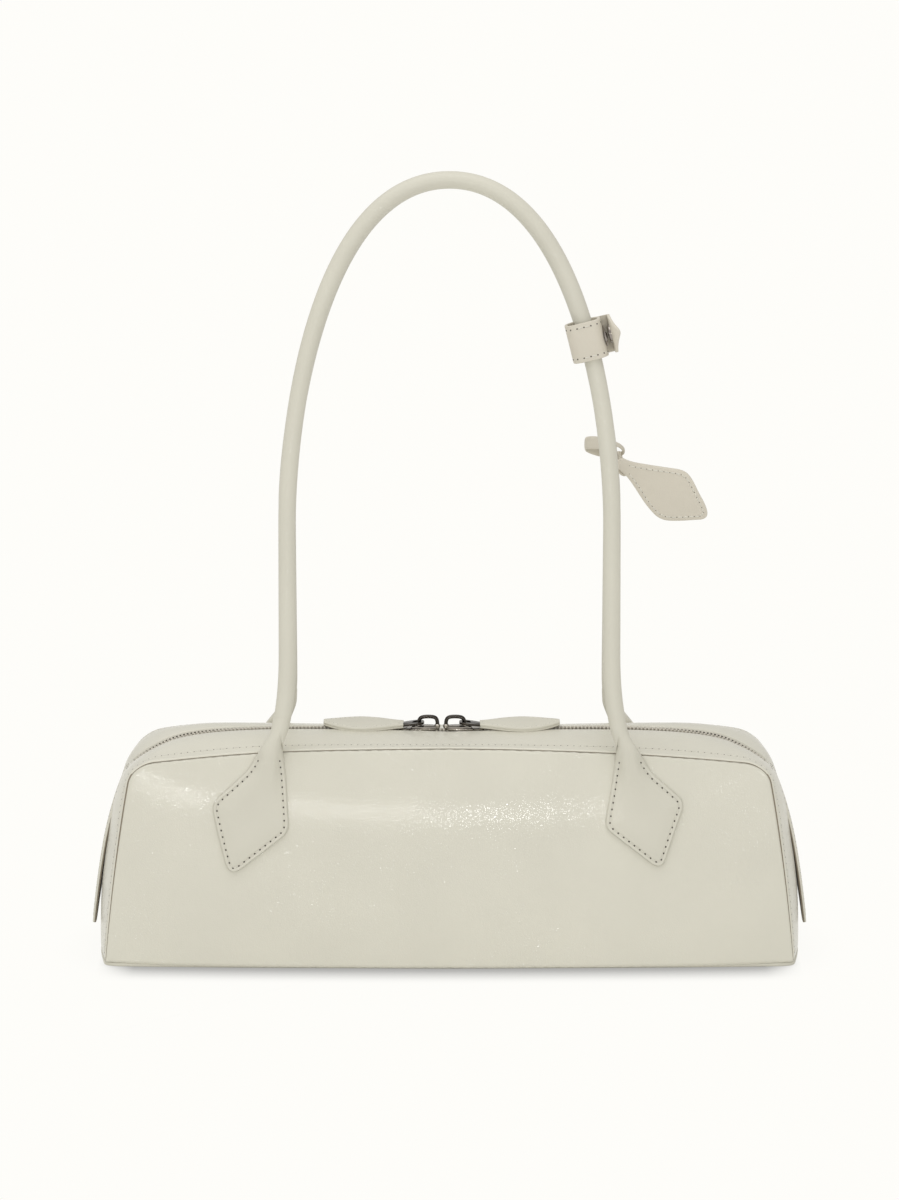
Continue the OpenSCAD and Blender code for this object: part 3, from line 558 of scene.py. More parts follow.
def resample(path, step):
    """Points a fixed step apart along a path, which is stretched to a whole number."""
    length = np.concatenate([[0], np.cumsum(np.linalg.norm(np.diff(path, axis=0), axis=1))])
    count = max(2, int(round(length[-1] / step)) + 1)
    at = np.linspace(0, length[-1], count)
    return np.stack([np.interp(at, length, path[:, k]) for k in range(path.shape[1])], -1)


def even(outline, step):
    """Closed outline with its points a fixed step apart."""
    return resample(np.vstack([outline, outline[:1]]), step)[:-1]


def repeated(faces, size, count):
    """Faces of a shape that is set down a number of times."""
    return [[k + i * size for k in f] for i in range(count) for f in faces]


def sew(name, body, path, normals, pitch=STITCH, thread=THREAD_R, hole=HOLE_R):
    """Row of stitches along a path whose normals point out of the leather; it rides on a
    body if one is given."""
    both = resample(np.concatenate([path, normals], 1), pitch)
    at, up = both[:, :3], unit(both[:, 3:])
    shape, skin = ball()
    step = np.linalg.norm(at[1:] - at[:-1], axis=1).mean()
    near = np.clip([np.arange(len(at)) + 1, np.arange(len(at)) - 1], 0, len(at) - 1)
    spots = np.concatenate([(at[:-1] + at[1:]) / 2, at])
    runs = np.concatenate([at[1:] - at[:-1], at[near[0]] - at[near[1]]])
    ups = np.concatenate([up[:-1], up])
    x, y = unit(runs), unit(np.cross(ups, runs))
    axes = np.stack([x, y, np.cross(x, y)], 1)
    stitch, pit = [step * 0.43, thread * 1.2, thread], [hole, hole, hole * 0.35]
    sizes = np.repeat([stitch, pit], [len(at) - 1, len(at)], axis=0)
    points = spots[:, None] + (shape * sizes[:, None]) @ axes
    faces = repeated(skin, len(shape), len(spots))
    # Slot 1, the needle holes, is a near black that paints the shade inside the holes.
    slots = np.repeat([0, 1], [(len(at) - 1) * len(skin), len(at) * len(skin)])
    row = piece(name, points.reshape(-1, 3), faces, [THREAD, HOLE_SHADE], slots, 180)
    if body:
        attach(row, body)
    return row


def band_normals(t, w):
    """Outward direction of the band by small steps along and across it."""
    e = 1e-3
    a = band(np.clip(t + e, 0, 1), w) - band(np.clip(t - e, 0, 1), w)
    b = band(t, np.clip(w + e, 0, 1)) - band(t, np.clip(w - e, 0, 1))
    return unit(np.cross(b, a))


for side_x, side_y in QUARTERS:
    t = np.linspace(0.02, 1, 220)
    depth = seam_depth(along(SEAM_MM, t)[..., 1])
    w = (SEAM_IN + STRIP_MORE * ease((t - 0.6) / 0.1)) / depth
    path = quadrant(band(t, w, -folded_up(5.15, t) - 0.03), side_x, side_y)
    up = band_normals(t, w) * [side_x, -side_y, 1]
    row = sew(f"seam_stitches_{FACES[side_y]}_{SIDES[side_x]}", None, path, up, hole=0.26,
              thread=0.22)
    soften(row)

# Zip.
# A tonal zip: woven tapes sewn under the strips, two rows of small moulded teeth that
# interlock at mid depth, and a crimped stop at each end.
ZIP_FROM, TOOTH_STEP, SINK = 0.588, 1.9, -0.5


def zip_line(count, start=ZIP_FROM):
    """Evenly spaced places on the zip from its end to mid length, as shares."""
    t = np.linspace(start, 1, 600)
    path = along(MIDS_MM, t)
    length = np.concatenate([[0], np.cumsum(np.linalg.norm(np.diff(path, axis=0), axis=1))])
    return np.interp(np.linspace(0, length[-1], count), length, t), length[-1]


def tooth(round_share=0.55):
    """Moulded tooth: a ball squared off to fill its block."""
    shape, skin = ball(7, 12)
    block = np.sign(shape) * np.abs(shape) ** round_share
    return block / np.abs(block).max(0) * [TOOTH_STEP * 0.27, 1.5, 0.85], skin


tooth_shape, tooth_skin = tooth()
_, zip_length = zip_line(2)
teeth = int(zip_length / TOOTH_STEP)
for side_x, side_y in QUARTERS:
    face, end = FACES[side_y], SIDES[side_x]
    t, _ = zip_line(2 * teeth + 1)
    t = t[1::2] if side_y < 0 else t[0:-1:2]
    n = across(t)[:, None]
    run = np.stack([n[..., 1], -n[..., 0]], -1)
    flat = (along(MIDS_MM, t)[:, None] - (SINK + 0.8) * n + tooth_shape[:, :1] * run
            + tooth_shape[:, 2:] * n)
    points = quadrant(stood(flat, tooth_shape[:, 1] - 1.15), side_x, side_y).reshape(-1, 3)
    faces = orient(points, repeated(tooth_skin, len(tooth_shape), len(t)))
    row = piece(f"zip_teeth_{face}_{end}", points, faces, [TOOTH])
    dress(row, "zip_teeth", None, f"zip_teeth_{face}")
    soften(row)
    t, _ = zip_line(110, END_T + 0.003)
    y = np.array([-8.5, -6, -4.5, -3.2, -2.4, -1.6, -0.8])
    cord = (0.5 * np.exp(-((y + 2.9) / 0.5) ** 2) - 0.4 * (np.abs(y) > 4))[:, None]
    n = across(t)[:, None]
    sheets = [stood(along(MIDS_MM, t)[:, None] + (cord - sink) * n, y)
              for sink in (1.55, 2.0)]
    quarter_piece(f"zip_tape_{face}_{end}", f"zip_tape_{face}", "zip_tape", sheets, side_x,
                  side_y, [TAPE_SHADE])

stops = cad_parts["zip_stops"]
stops.data.materials.clear()
stops.data.materials.append(NICKEL)

# Sliders.
# Dark nickel sliders parked nose to nose: a shield-shaped top plate with turned edges over
# a lower wing, and a round-wire arch at the inner end that holds the pull link.
SLIDER_LOW, LEFT_X, RIGHT_X = 113.8, -5.25, -2.75
LINK_Z, LINK_BAR = 117.52, 8.38


def sweep(path, radius, sides=16, up=(0.0, 1.0, 0.0)):
    """Rings of a round tube along a path; up stays across it. Radius may vary."""
    run = unit(np.gradient(path, axis=0))
    side = unit(np.cross(run, up))
    lift = np.cross(side, run)
    a = np.linspace(0, 2 * np.pi, sides, endpoint=False)
    r = np.broadcast_to(radius, len(path))[:, None, None]
    return path[:, None] + r * (np.cos(a)[:, None] * lift[:, None]
                                + np.sin(a)[:, None] * side[:, None])


def smooth_loop(corners, rounds=3, closed=True):
    """Corners cut again and again, so that a polygon turns into a rounded outline."""
    q = np.asarray(corners, float)
    for _ in range(rounds):
        nxt = np.roll(q, -1, 0) if closed else q[1:]
        now = q if closed else q[:-1]
        cut = np.stack([now * 0.75 + nxt * 0.25, now * 0.25 + nxt * 0.75], 1)
        cut = cut.reshape(-1, q.shape[1])
        q = cut if closed else np.concatenate([q[:1], cut, q[-1:]])
    return q


def pad(outline, levels):
    """Rings over an outline: levels are (distance drawn in, height) from below."""
    n = outward(outline)
    return [at_height(outline - inset * n, high) for inset, high in levels]


def joined(parts):
    """Points and faces of several closed skins as one."""
    points, faces, count = [], [], 0
    for p, f in parts:
        points.append(p)
        faces += [[k + count for k in quad] for quad in f]
        count += len(p)
    return np.concatenate(points), faces


def ring_round(rings):
    """Skin over rings of equal length, the last of them joined to the first."""
    rings = np.asarray(rings)
    rows, cols = rings.shape[:2]
    j = np.arange(cols)
    k, last = (j + 1) % cols, (rows - 1) * cols
    faces = grid_faces(rows, cols, True).tolist()
    faces += np.stack([last + j, last + k, k, j], -1).tolist()
    points = rings.reshape(-1, 3)
    return points, orient(points, faces)


def slider_parts():
    """Skins of a slider whose inner end is at 0 and whose tail runs along +X."""
    plate = smooth_loop([(0, -1.2), (2.2, -3.6), (8, -4.5), (14.5, -4.3), (15.2, -3.4),
                         (15.2, 3.4), (14.5, 4.3), (8, 4.5), (2.2, 3.6), (0, 1.2)], 2)
    levels = [(0.5, 0), (0.0, 0.35), (0.0, 1.0), (0.35, 1.25), (0.9, 1.3), (1.1, 1.9),
              (1.7, 2.25)]
    parts = [ring_loft(pad(plate, levels))]
    tail = smooth_loop([(14, -4.4), (19.5, -3.6), (21, -2.4), (21, 2.4), (19.5, 3.6),
                        (14, 4.4)], 2)
    parts.append(ring_loft(pad(tail, [(0.4, 0.1), (0.0, 0.4), (0.0, 0.85), (0.4, 1.15)])))
    arch = resample(smooth_loop([(0.95, 1.6), (0.95, 4.9), (2.4, 6.75), (8.9, 6.75),
                                 (10.5, 4.9), (10.5, 1.6)], 3, False), 0.35)
    parts.append(ring_loft(sweep(stood(arch, 0.0), 0.98, 14)))
    for x in (0.95, 10.5):
        boss = smooth_loop([(x - 1.5, -1.9), (x + 1.5, -1.9), (x + 1.5, 1.9), (x - 1.5, 1.9)], 2)
        parts.append(ring_loft(pad(boss, [(0, 1.2), (0, 2.5), (0.35, 2.9)])))
    return parts


def link_parts():
    """Skins of the flat pull link, its bar under the arch and its tail in the puller."""
    loop = smooth_loop([(-0.7, -4.4), (7, -4.4), (11, -3.2), (17.4, -2.9), (17.4, 2.9),
                        (11, 3.2), (7, 4.4), (-0.7, 4.4)], 2)
    hole = smooth_loop([(0.7, -2.6), (5.4, -2.6), (5.4, 2.6), (0.7, 2.6)], 2)
    loop, hole = even(loop, 0.5), np.vstack([hole, hole[:1]])
    n = len(loop)
    hole = resample(hole, np.linalg.norm(np.diff(hole, axis=0), axis=1).sum() / n)[:n]
    angle = np.arctan2(loop[:, 1], loop[:, 0] - 3.0)
    order = np.argsort(np.arctan2(hole[:, 1], hole[:, 0] - 3.0))
    hole = hole[order][np.argsort(np.argsort(angle))]
    brow = loop * 0.94 + hole * 0.06
    points, faces = ring_round([at_height(edge, z) for edge, z in (
        (brow, -0.6), (loop, -0.45), (loop, 0.45), (brow, 0.6), (hole, 0.6), (hole, -0.6))])
    points[:, 2] -= 1.1 * np.clip((points[:, 0] - 2) / 9, 0, 1)
    return points + [LINK_BAR, 0, LINK_Z], faces


slider_skins = slider_parts()
slider_slots = np.concatenate([np.full(len(skin[1]), int(k == 2))
                               for k, skin in enumerate(slider_skins)])
slider_points, slider_faces = joined(slider_skins)
slider_points = slider_points + [0, 0, SLIDER_LOW]
link_points, link_faces = link_parts()
PARKED = ((-1, "left", LEFT_X), (1, "right", RIGHT_X))
for side, name, x in PARKED:
    points = slider_points * [side, 1, 1] + [x, 0, 0]
    made = piece(f"slider_{name}_metal", points, orient(points, slider_faces),
                 [PLATE, NICKEL], slider_slots, 35)
    dress(made, "dark_nickel", f"{name}_slider", f"slider_{name}")
    points = link_points * [side, 1, 1] + [x, 0, 0]
    made = piece(f"pull_link_{name}_metal", points, orient(points, link_faces), [NICKEL],
                 smooth=35)
    dress(made, "dark_nickel", f"{name}_puller", f"pull_link_{name}")

# Zip pullers.
# Long leaf-shaped pullers of two leather layers sewn together round the link's tail, a
# little domed, with the seam between the layers showing along their edge.
PULLER = [(0, 0.36), (5, 0.5), (11, 0.78), (19, 0.99), (24, 1.0), (30, 0.86), (36, 0.56),
          (40.2, 0.30), (41, 0.22)]
PULLER_LEAN, PULLER_OUT, CURL_FROM = math.radians(6), 18.2, 24


def leaf_rings(outline, half, dome, groove=0.18):
    """Rings of a two-layer leaf: rounded edges, a groove between the layers, a soft dome."""
    n, centre = outward(outline), outline.mean(0)
    side = [(groove, 0.0), (0.04, 0.14), (0.0, 0.3), (0.0, 0.62), (0.14, 0.84), (0.42, 0.97)]
    upper = [at_height(outline - a * n, b * half) for a, b in side]
    upper += [at_height(centre + (outline - 0.5 * n - centre) * s, half + dome * (1 - s * s))
              for s in (0.86, 0.7, 0.5, 0.3, 0.12)]
    lower = [r * [1, 1, -1] for r in upper[1:]]
    return lower[::-1] + upper


def edge_path(outline, inset):
    """Outline drawn in by a distance, closed."""
    inner = outline - inset * outward(outline)
    return np.vstack([inner, inner[:1]])


def lay_puller(points):
    """Puller laid on its slider: leaning forward on the strip, its tip curling up."""
    c, s = math.cos(PULLER_LEAN), math.sin(PULLER_LEAN)
    x, y, z = points.T
    curl = 1.1 * (np.clip(x - CURL_FROM, 0, None) / 17) ** 2
    return np.stack([x + PULLER_OUT, y * c - z * s, y * s + z * c + curl + LINK_Z - 1.1], -1)


profile = smooth_loop([(a, b * 10.0) for a, b in PULLER], 3, False)
puller_edge = even(np.vstack([profile, (profile * [1, -1])[::-1]]), 0.7)
for side, name, x in PARKED:
    points, faces = ring_loft(leaf_rings(puller_edge, 1.3, 0.45))
    # The lower layer's faces take the dark edge colour: a painted shadow along the puller's
    # lower edge, where it lies over the strip.
    below = [int(np.mean([points[k, 2] for k in f]) < -0.6) for f in faces]
    points = lay_puller(points) * [side, 1, 1] + [x, 0, 0]
    made = piece(f"puller_{name}_leather", points, orient(points, faces), [TRIM, EDGE_INK_AND_SHADE],
                 below, 60)
    dress(made, "outer_leather", f"{name}_puller", f"puller_{name}")
    path = lay_puller(at_height(edge_path(puller_edge, 1.9), 1.36)) * [side, 1, 1]
    sew(f"puller_{name}_stitches", f"{name}_puller", path + [x, 0, 0],
        np.tile([0.0, 0, 1], (len(path), 1)), 2.6, 0.22, 0.2)

# End tabs.
# A long leaf of leather sewn under each end of the zip; it hangs down over the gusset and
# curls away from it at its lower end.
TAB_T = (0.566, 0.05)
TAB_HALF = [(0, 0.60), (0.12, 0.70), (0.4, 0.90), (0.62, 1), (0.8, 0.86), (0.94, 0.5),
            (0.985, 0.34), (1, 0.2)]
TAB_WIDTH, TAB_THICK, TAB_LONG = 12.5, 1.75, 90.0


def tab_place(s):
    """Place on the outline at a share of the tab's length."""
    return TAB_T[0] + (TAB_T[1] - TAB_T[0]) * s


def on_tab(s, y, depth, side):
    """Points at a share down the tab, a width across it and a depth out; the tab is rolled
    a little across, less so at its lower end."""
    t = tab_place(s)
    out = 0.08 - TUCK * tucked(t) + 2.6 * s ** 5 + depth - 0.008 * y ** 2 * (1 - 0.7 * s)
    return stood(along(MIDS_MM, t) + out[..., None] * across(t), y) * [side, 1, 1]


halves = smooth_loop(TAB_HALF, 3, False)
s_places = closer(50, (True, True), length=TAB_LONG)
width = np.interp(s_places, halves[:, 0], halves[:, 1]) * TAB_WIDTH
width[[0, -1]] -= [0.6, 0.8]
s, cross = np.meshgrid(s_places, closer(18, (True, True), length=20.0) * 2 - 1,
                       indexing="ij")
y = cross * width[:, None]
rim = np.minimum(width[:, None] - np.abs(y), np.minimum(s, 1 - s) * TAB_LONG)
half = np.column_stack([s_places, np.clip(width - 2.0, 0.5, None)])
half = half[(s_places > 0.03) & (s_places < 0.975)]
loop = np.vstack([half * [1, -1], half[::-1], half[:1] * [1, -1]])
for side, name in SIDES.items():
    thick = 0.8 + 0.2 * ease(s / 0.2)
    points, faces = shell(on_tab(s, y, (TAB_THICK - rounding(rim, 0.9)) * thick, side),
                          on_tab(s, y, rounding(rim, 0.3) * thick, side))
    # The dark edge colour under the tab and round its rim is edge ink and painted shade along
    # the line where the tab lies on the gusset.
    made = piece(f"end_tab_{name}_leather", points, faces, [BODY, EDGE_INK_AND_SHADE],
                 under_slots(faces, s.shape))
    dress(made, "outer_leather", f"{name}_tab", f"end_tab_{name}")
    up = stood(across(tab_place(loop[:, 0])), 0.0) * [side, 1, 1]
    sew(f"end_tab_{name}_stitches", f"{name}_tab", on_tab(*loop.T, TAB_THICK - 0.02, side),
        up)

# Handles: rolled leather over a rope core.
# Each is one tall arch. It stands up from its feet on the panel and leans in to near mid
# depth at the top. Only the leather is drawn; it stands in for the core inside it too.
FOOT_X, FOOT_Y, FOOT_Z, TUBE_R = 90.0, 41.08, 104.0, 4.4
HANDLES = {-1: (81.5, 395.8, 50.0), 1: (83.4, 394.5, 32.0)}
EASE_SHARE, HANDLE_GAP, NECK_TOP, REAR_IN = 0.815, 7.0, 128.0, 3.5
STRAIGHT = 160, 225


def handle_half(side_y, count=60):
    """Right half of a handle's centre line in the leaning plane, from foot to top."""
    spread, top, turn = HANDLES[side_y]
    foot = FOOT_X - REAR_IN * (side_y > 0)
    leg = bezier([(foot, FOOT_Z), (foot - 3.5, FOOT_Z + 14), (spread, 130),
                  (spread, STRAIGHT[0])], np.linspace(0, 1, count)[:-1])
    straight = np.stack([np.full(count, spread), np.linspace(*STRAIGHT, count)], -1)[:-1]
    arch = bezier([(spread, STRAIGHT[1]), (spread, STRAIGHT[1] + turn),
                   (spread * EASE_SHARE, top), (0, top)], np.linspace(0, 1, 3 * count))
    return np.concatenate([leg, straight, arch])


def handle_y(z, side_y):
    """Depth of the handle at a height, as a distance from mid depth."""
    top = HANDLES[side_y][1]
    return FOOT_Y + (HANDLE_GAP - FOOT_Y) * (z - FOOT_Z) / (top - FOOT_Z)


def on_handle(path, side_y):
    """Points of the leaning plane put in space."""
    return stood(path, side_y * handle_y(path[:, 1], side_y))


for side_y, name in FACES.items():
    half = handle_half(side_y)
    whole = resample(np.concatenate([half, (half * [-1, 1])[::-1][1:]]), 2.0)
    whole = whole[whole[:, 1] > NECK_TOP - 6]
    path = on_handle(whole, side_y)
    lean = unit(np.cross([1.0, 0, 0], [0, -side_y * (FOOT_Y - HANDLE_GAP),
                                        HANDLES[side_y][1] - FOOT_Z]))
    rings = sweep(path, TUBE_R - 0.12 * (1 - ease((whole[:, 1] - NECK_TOP) / 4)), 28, lean)
    tube = piece(f"handle_{name}_leather", *ring_loft(rings), [TRIM], smooth=60)
    dress(tube, "outer_leather", f"{name}_handle", f"handle_{name}", f"handle_core_{name}")

# Diamond patches.
# Each foot of a handle flattens into a diamond-shaped patch sewn on the panel with one
# row of stitches; its neck keeps the round of the handle and melts into the flat patch.
PATCH_EDGE = [((-4.5, 128), 0), ((-5.0, 118), 6), ((-6.2, 108), 6), ((-7.4, 98), 6),
              ((-10.5, 71.6), 4.5), ((19.15, 48.6), 8.0), ((29.6, 84.6), 5.0),
              ((18.8, 93.8), 4), ((12.4, 99.2), 4), ((8.6, 105.0), 4), ((6.4, 111), 4),
              ((4.9, 118), 6), ((4.5, 128), 0)]
PATCH_SKEW = {(-1, -1): (1.8, -1.5), (1, -1): (-1.8, 1.5), (-1, 1): (0, 0), (1, 1): (0, 0)}
PATCH_THICK, SEWN_IN, PATCH_GAP, PANEL_TOP = 1.5, 2.1, 0.2, 106.0
NECK_Z, NECK_HALF = (66, 84, 92, 98, 104, 111, 118), (14.5, 16.5, 12.0, 9.5, 7.6, 6.2, 5.2)


def rounded(corners, steps):
    """Path through corners, each a place and how far from it the rounding starts."""
    places = [np.array(c[0], float) for c in corners]
    out = []
    for i, (v, r) in enumerate(zip(places, [c[1] for c in corners])):
        if r == 0:
            out.append(v[None])
            continue
        back, on = places[i - 1] - v, places[(i + 1) % len(places)] - v
        p = v + unit(back) * min(r, np.linalg.norm(back) / 2)
        q = v + unit(on) * min(r, np.linalg.norm(on) / 2)
        out.append(bezier([p, v, q], np.linspace(0, 1, steps)))
    return np.concatenate(out)


def find_panel(x, z):
    """Shares u and v of the panel point at a place, found in a few rounds."""
    u, v = x / HALF, (z - FLOOR_GAP) / (SEAM_TOP - FLOOR_GAP)
    for _ in range(8):
        q = panel_flat(np.clip(u, 1e-4, 1), np.clip(v, 0, 1.2))
        u, v = u * x / q[..., 0], v * (z - FLOOR_GAP) / (q[..., 1] - FLOOR_GAP)
    return u, v


def panel_face(x, z):
    """How far the panel's face stands out at a place, carried on above its top seam."""
    low = np.minimum(z, PANEL_TOP)
    u, v = find_panel(x, low)
    return -panel_y(np.clip(u, 0, 1), np.clip(v, 0, 1), low) - 0.1 * (z - low)


def patch_lean(x, z, skew):
    """Sideways and upward shift that gives each hand-sewn patch its own set."""
    share = 1 - ease((z - 55) / 50)
    return x + skew[0] * share, z + skew[1] * share


def patch_skin(x, z, edge, side_y, skew):
    """How far a patch's face stands out: sewn edge, puffed middle and the round neck."""
    flat = np.stack([x.ravel(), z.ravel()], -1)
    near = np.full(len(flat), 1e9)
    for part in np.array_split(edge, 12):
        near = np.minimum(near, np.linalg.norm(flat[:, None] - part[None], axis=-1).min(1))
    near = near.reshape(x.shape)
    plate = PATCH_THICK * np.sqrt(1 - (1 - np.clip(near / 0.9, 0, 1)) ** 2)
    high = 1 - ease((z - 100) / 10)
    plate += high * (0.25 * np.exp(-((near - 1.1) / 0.6) ** 2)
                     - 0.4 * np.exp(-((near - SEWN_IN) / 0.6) ** 2))
    plate += 0.8 * (1 - np.exp(-(np.clip(near - 1.5, 0, None) / 4.0) ** 2))
    lx, lz = patch_lean(x, z, skew)
    ground = panel_face(lx, lz)
    crown = handle_y(np.maximum(z, FOOT_Z), side_y) + TUBE_R - ground - PATCH_GAP
    rise = np.clip(crown - 2.3, 0, None) * ease((z - 66) / 54)
    reach = 0.72 * np.interp(z, NECK_Z, NECK_HALF)
    share = np.clip(near / reach, 0, 1)
    soft = np.sin(np.pi / 2 * share) ** 2
    round_share = ease((z - 94) / 22)
    swell = soft * (1 - round_share) + np.sqrt(1 - (1 - share) ** 2) * round_share
    return ground + PATCH_GAP + plate + rise * swell, lx, lz


def patch_edges():
    """A patch's edge as a dense path, and its inner and outer side by height."""
    path = resample(rounded(PATCH_EDGE, 12), 0.25)
    low = int(np.argmin(path[:, 1]))
    return path, path[:low + 1][::-1], path[low:]


def patch_rings(side_y, skew):
    """Rings from the tip of a right patch up its neck to the round handle."""
    path, inner, outer = patch_edges()
    edge = path + [FOOT_X, 0]
    low = path[:, 1].min()
    zs = np.unique(np.concatenate([low + np.array([0.03, 0.12, 0.3, 0.6, 1.0, 1.5, 2.1, 2.8]),
                                   np.linspace(low + 3.5, NECK_TOP, 140)]))
    half = handle_half(side_y)
    a = np.linspace(0, 2 * np.pi, 144, endpoint=False)
    z = np.broadcast_to(zs[:, None], (len(zs), len(a)))
    left = FOOT_X + np.interp(zs, inner[:, 1], inner[:, 0])
    right = FOOT_X + np.interp(zs, outer[:, 1], outer[:, 0])
    line = np.interp(zs, half[:, 1], half[:, 0])
    tube = ease((zs - 104) / 18)
    left = left * (1 - tube) + (line - TUBE_R) * tube
    right = right * (1 - tube) + (line + TUBE_R) * tube
    x = ((left + right) / 2)[:, None] + ((right - left) / 2)[:, None] * np.cos(a)
    front, lx, lz = patch_skin(x, z, edge, side_y, skew)
    back = panel_face(lx, lz) + PATCH_GAP
    sewn = np.where(np.sin(a) >= 0, front, back)
    turned_skin = handle_y(z, side_y) + TUBE_R * np.sin(a)
    y = sewn * (1 - tube)[:, None] + turned_skin * tube[:, None]
    return stood(np.stack([lx, lz], -1), -y)


def patch_stitch_line(side_y, skew):
    """Stitch line inside a patch's edge, from neck to tip to neck."""
    path, _, _ = patch_edges()
    turn = np.gradient(path, axis=0)
    line = path + SEWN_IN * unit(np.stack([-turn[:, 1], turn[:, 0]], -1)) + [FOOT_X, 0]
    line = line[line[:, 1] < 105.5]
    y, lx, lz = patch_skin(line[:, 0], line[:, 1], path + [FOOT_X, 0], side_y, skew)
    return stood(np.stack([lx, lz], -1), -y - 0.08)


for side_x, side_y in QUARTERS:
    name = f"patch_{FACES[side_y]}_{SIDES[side_x]}"
    skew = PATCH_SKEW[side_x, side_y]
    rings = quadrant(patch_rings(side_y, skew), side_x, side_y)
    made = piece(f"{name}_leather", *ring_loft(rings), [TRIM], smooth=70)
    dress(made, "outer_leather", None, name)
    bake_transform(made)
    path = quadrant(patch_stitch_line(side_y, skew), side_x, side_y)
    up = np.tile([0.0, side_y, 0.1], (len(path), 1))
    sew(f"{name}_stitches", WALLS[side_y], path, up, 3.4, 0.20, 0.50)

# Keeper on the front handle.
# A stitched leather band that slides on the handle, closed on its right side by a snap
# under a short pointed flap, which stands half open.
KEEPER_AT = np.array([69.35, -16.21, 316.93])
FRONT_LEAN, KEEPER_TURN = math.radians(6.661), math.radians(14.0)
KEEPER_HALF, KEEPER_DEEP, KEEPER_HIGH, KEEPER_WALL = 9.1, 6.8, 19.5, 1.7
KEEPER_BOX = KEEPER_HALF, KEEPER_DEEP + 0.5, 5.6
FLAP_PIVOT, FLAP_FLAT, FLAP_BEND, FLAP_HALF, FLAP_TIP = (12.5, 6.0), 10.4, 5.6, 9.75, -17.2
BAND_TIP = math.radians(6.5)


def turn_x(angle):
    """Matrix that turns by an angle about X."""
    c, s = math.cos(angle), math.sin(angle)
    return np.array([[1, 0, 0], [0, c, -s], [0, s, c]])


def turn_y(angle):
    """Matrix that turns by an angle about Y."""
    c, s = math.cos(angle), math.sin(angle)
    return np.array([[c, 0, s], [0, 1, 0], [-s, 0, c]])


keeper_frame = turn_x(-FRONT_LEAN) @ turn_y(-KEEPER_TURN)


def on_keeper(points):
    """Points of the keeper's own frame put on the handle."""
    return points @ keeper_frame.T + KEEPER_AT


def on_band(points):
    """Points of the band, which hangs a little askew on the handle, its back edge up."""
    return on_keeper(points @ turn_x(BAND_TIP).T + [-0.8, 0, -0.3])


def on_flap(points):
    """Points of the flap's own frame, hung from its fold behind the band."""
    return on_keeper(points + [*FLAP_PIVOT, 0])


def bent_flap(points):
    """Flat flap points, (out, along, up), carried round the curl of its free end."""
    out, run, up = points.T * [[1], [-1], [1]]
    a = np.clip((run - FLAP_FLAT) / FLAP_BEND, 0, None)
    x = FLAP_BEND * (1 - np.cos(a)) + out * np.cos(a)
    y = -np.minimum(run, FLAP_FLAT) - (FLAP_BEND - out) * np.sin(a)
    return np.stack([x, y, up], -1)


def rounded_box(half_x, half_y, radius, steps=10):
    """Rounded rectangle's outline, anticlockwise from its right side."""
    b = np.radians(90 * np.arange(4)[:, None] + np.linspace(0, 90, steps))
    x = np.array([1, -1, -1, 1])[:, None] * (half_x - radius) + radius * np.cos(b)
    y = np.array([1, 1, -1, -1])[:, None] * (half_y - radius) + radius * np.sin(b)
    return np.stack([x.ravel(), y.ravel()], -1)


def collar(half_x, half_y, radius, wall, high, edge):
    """Skin of a band with rounded edges round a rounded rectangle."""
    base = even(rounded_box(half_x, half_y, radius), 0.6)
    low = [(0, edge), (0.15 * edge, 0.4 * edge), (0.45 * edge, 0.1 * edge), (edge, 0),
           (wall - edge, 0), (wall - 0.15 * edge, 0.4 * edge), (wall, edge)]
    return ring_round(pad(base, [(d, rise - high / 2) for d, rise in low]
                          + [(d, high / 2 - rise) for d, rise in low[::-1]]))


band_skin = collar(*KEEPER_BOX, KEEPER_WALL, KEEPER_HIGH, 0.6)
tongue = [(KEEPER_HALF - 2.6, KEEPER_DEEP - 1.6), (FLAP_PIVOT[0] - 0.2, KEEPER_DEEP - 1.6),
          (FLAP_PIVOT[0] + 0.5, KEEPER_DEEP - 1.0), (FLAP_PIVOT[0] + 0.2, KEEPER_DEEP - 0.1),
          (KEEPER_HALF - 2.6, KEEPER_DEEP)]
tongue_rings = [at_height(tongue, z)
                for z in np.linspace(-KEEPER_HIGH / 2 + 0.3, KEEPER_HIGH / 2 - 0.3, 5)]
points, faces = joined([band_skin, ring_loft(tongue_rings)])
made = piece("keeper_band_leather", on_band(points), faces, [PALE], smooth=50)
dress(made, "outer_leather", "keeper", "keeper_band")
for k, z in (("upper", KEEPER_HIGH / 2 - 2.2), ("lower", -KEEPER_HIGH / 2 + 2.2)):
    front = rounded_box(*KEEPER_BOX, 16)
    front = front[front[:, 1] < -1.5 - KEEPER_DEEP * 0.25]
    path = at_height(front, z)
    reach = np.clip(np.abs(front[:, 0]) - 3.5, 0, None)
    out = unit(np.column_stack([np.sign(front[:, 0]) * reach, front[:, 1] + 1.7,
                                0 * reach]))
    sew(f"keeper_stitches_{k}", "keeper", on_band(path), out @ keeper_frame.T, 3.3, 0.26,
        0.40)

flap_shape = rounded([((0, -FLAP_HALF), 0.8), ((0, FLAP_HALF), 0.8),
                      ((-11.3, FLAP_HALF), 1.6), ((FLAP_TIP, 0.9), 1.2),
                      ((FLAP_TIP, -0.9), 1.2), ((-11.3, -FLAP_HALF), 1.6)], 5)
points, faces = ring_loft(leaf_rings(even(flap_shape, 0.5), 0.75, 0.0, 0.05))
points = on_flap(bent_flap(np.stack([points[:, 2], points[:, 0], points[:, 1]], -1)))
made = piece("keeper_flap_leather", points, orient(points, faces), [PALE], smooth=50)
dress(made, "lining_leather", "keeper_flap", "keeper_flap")


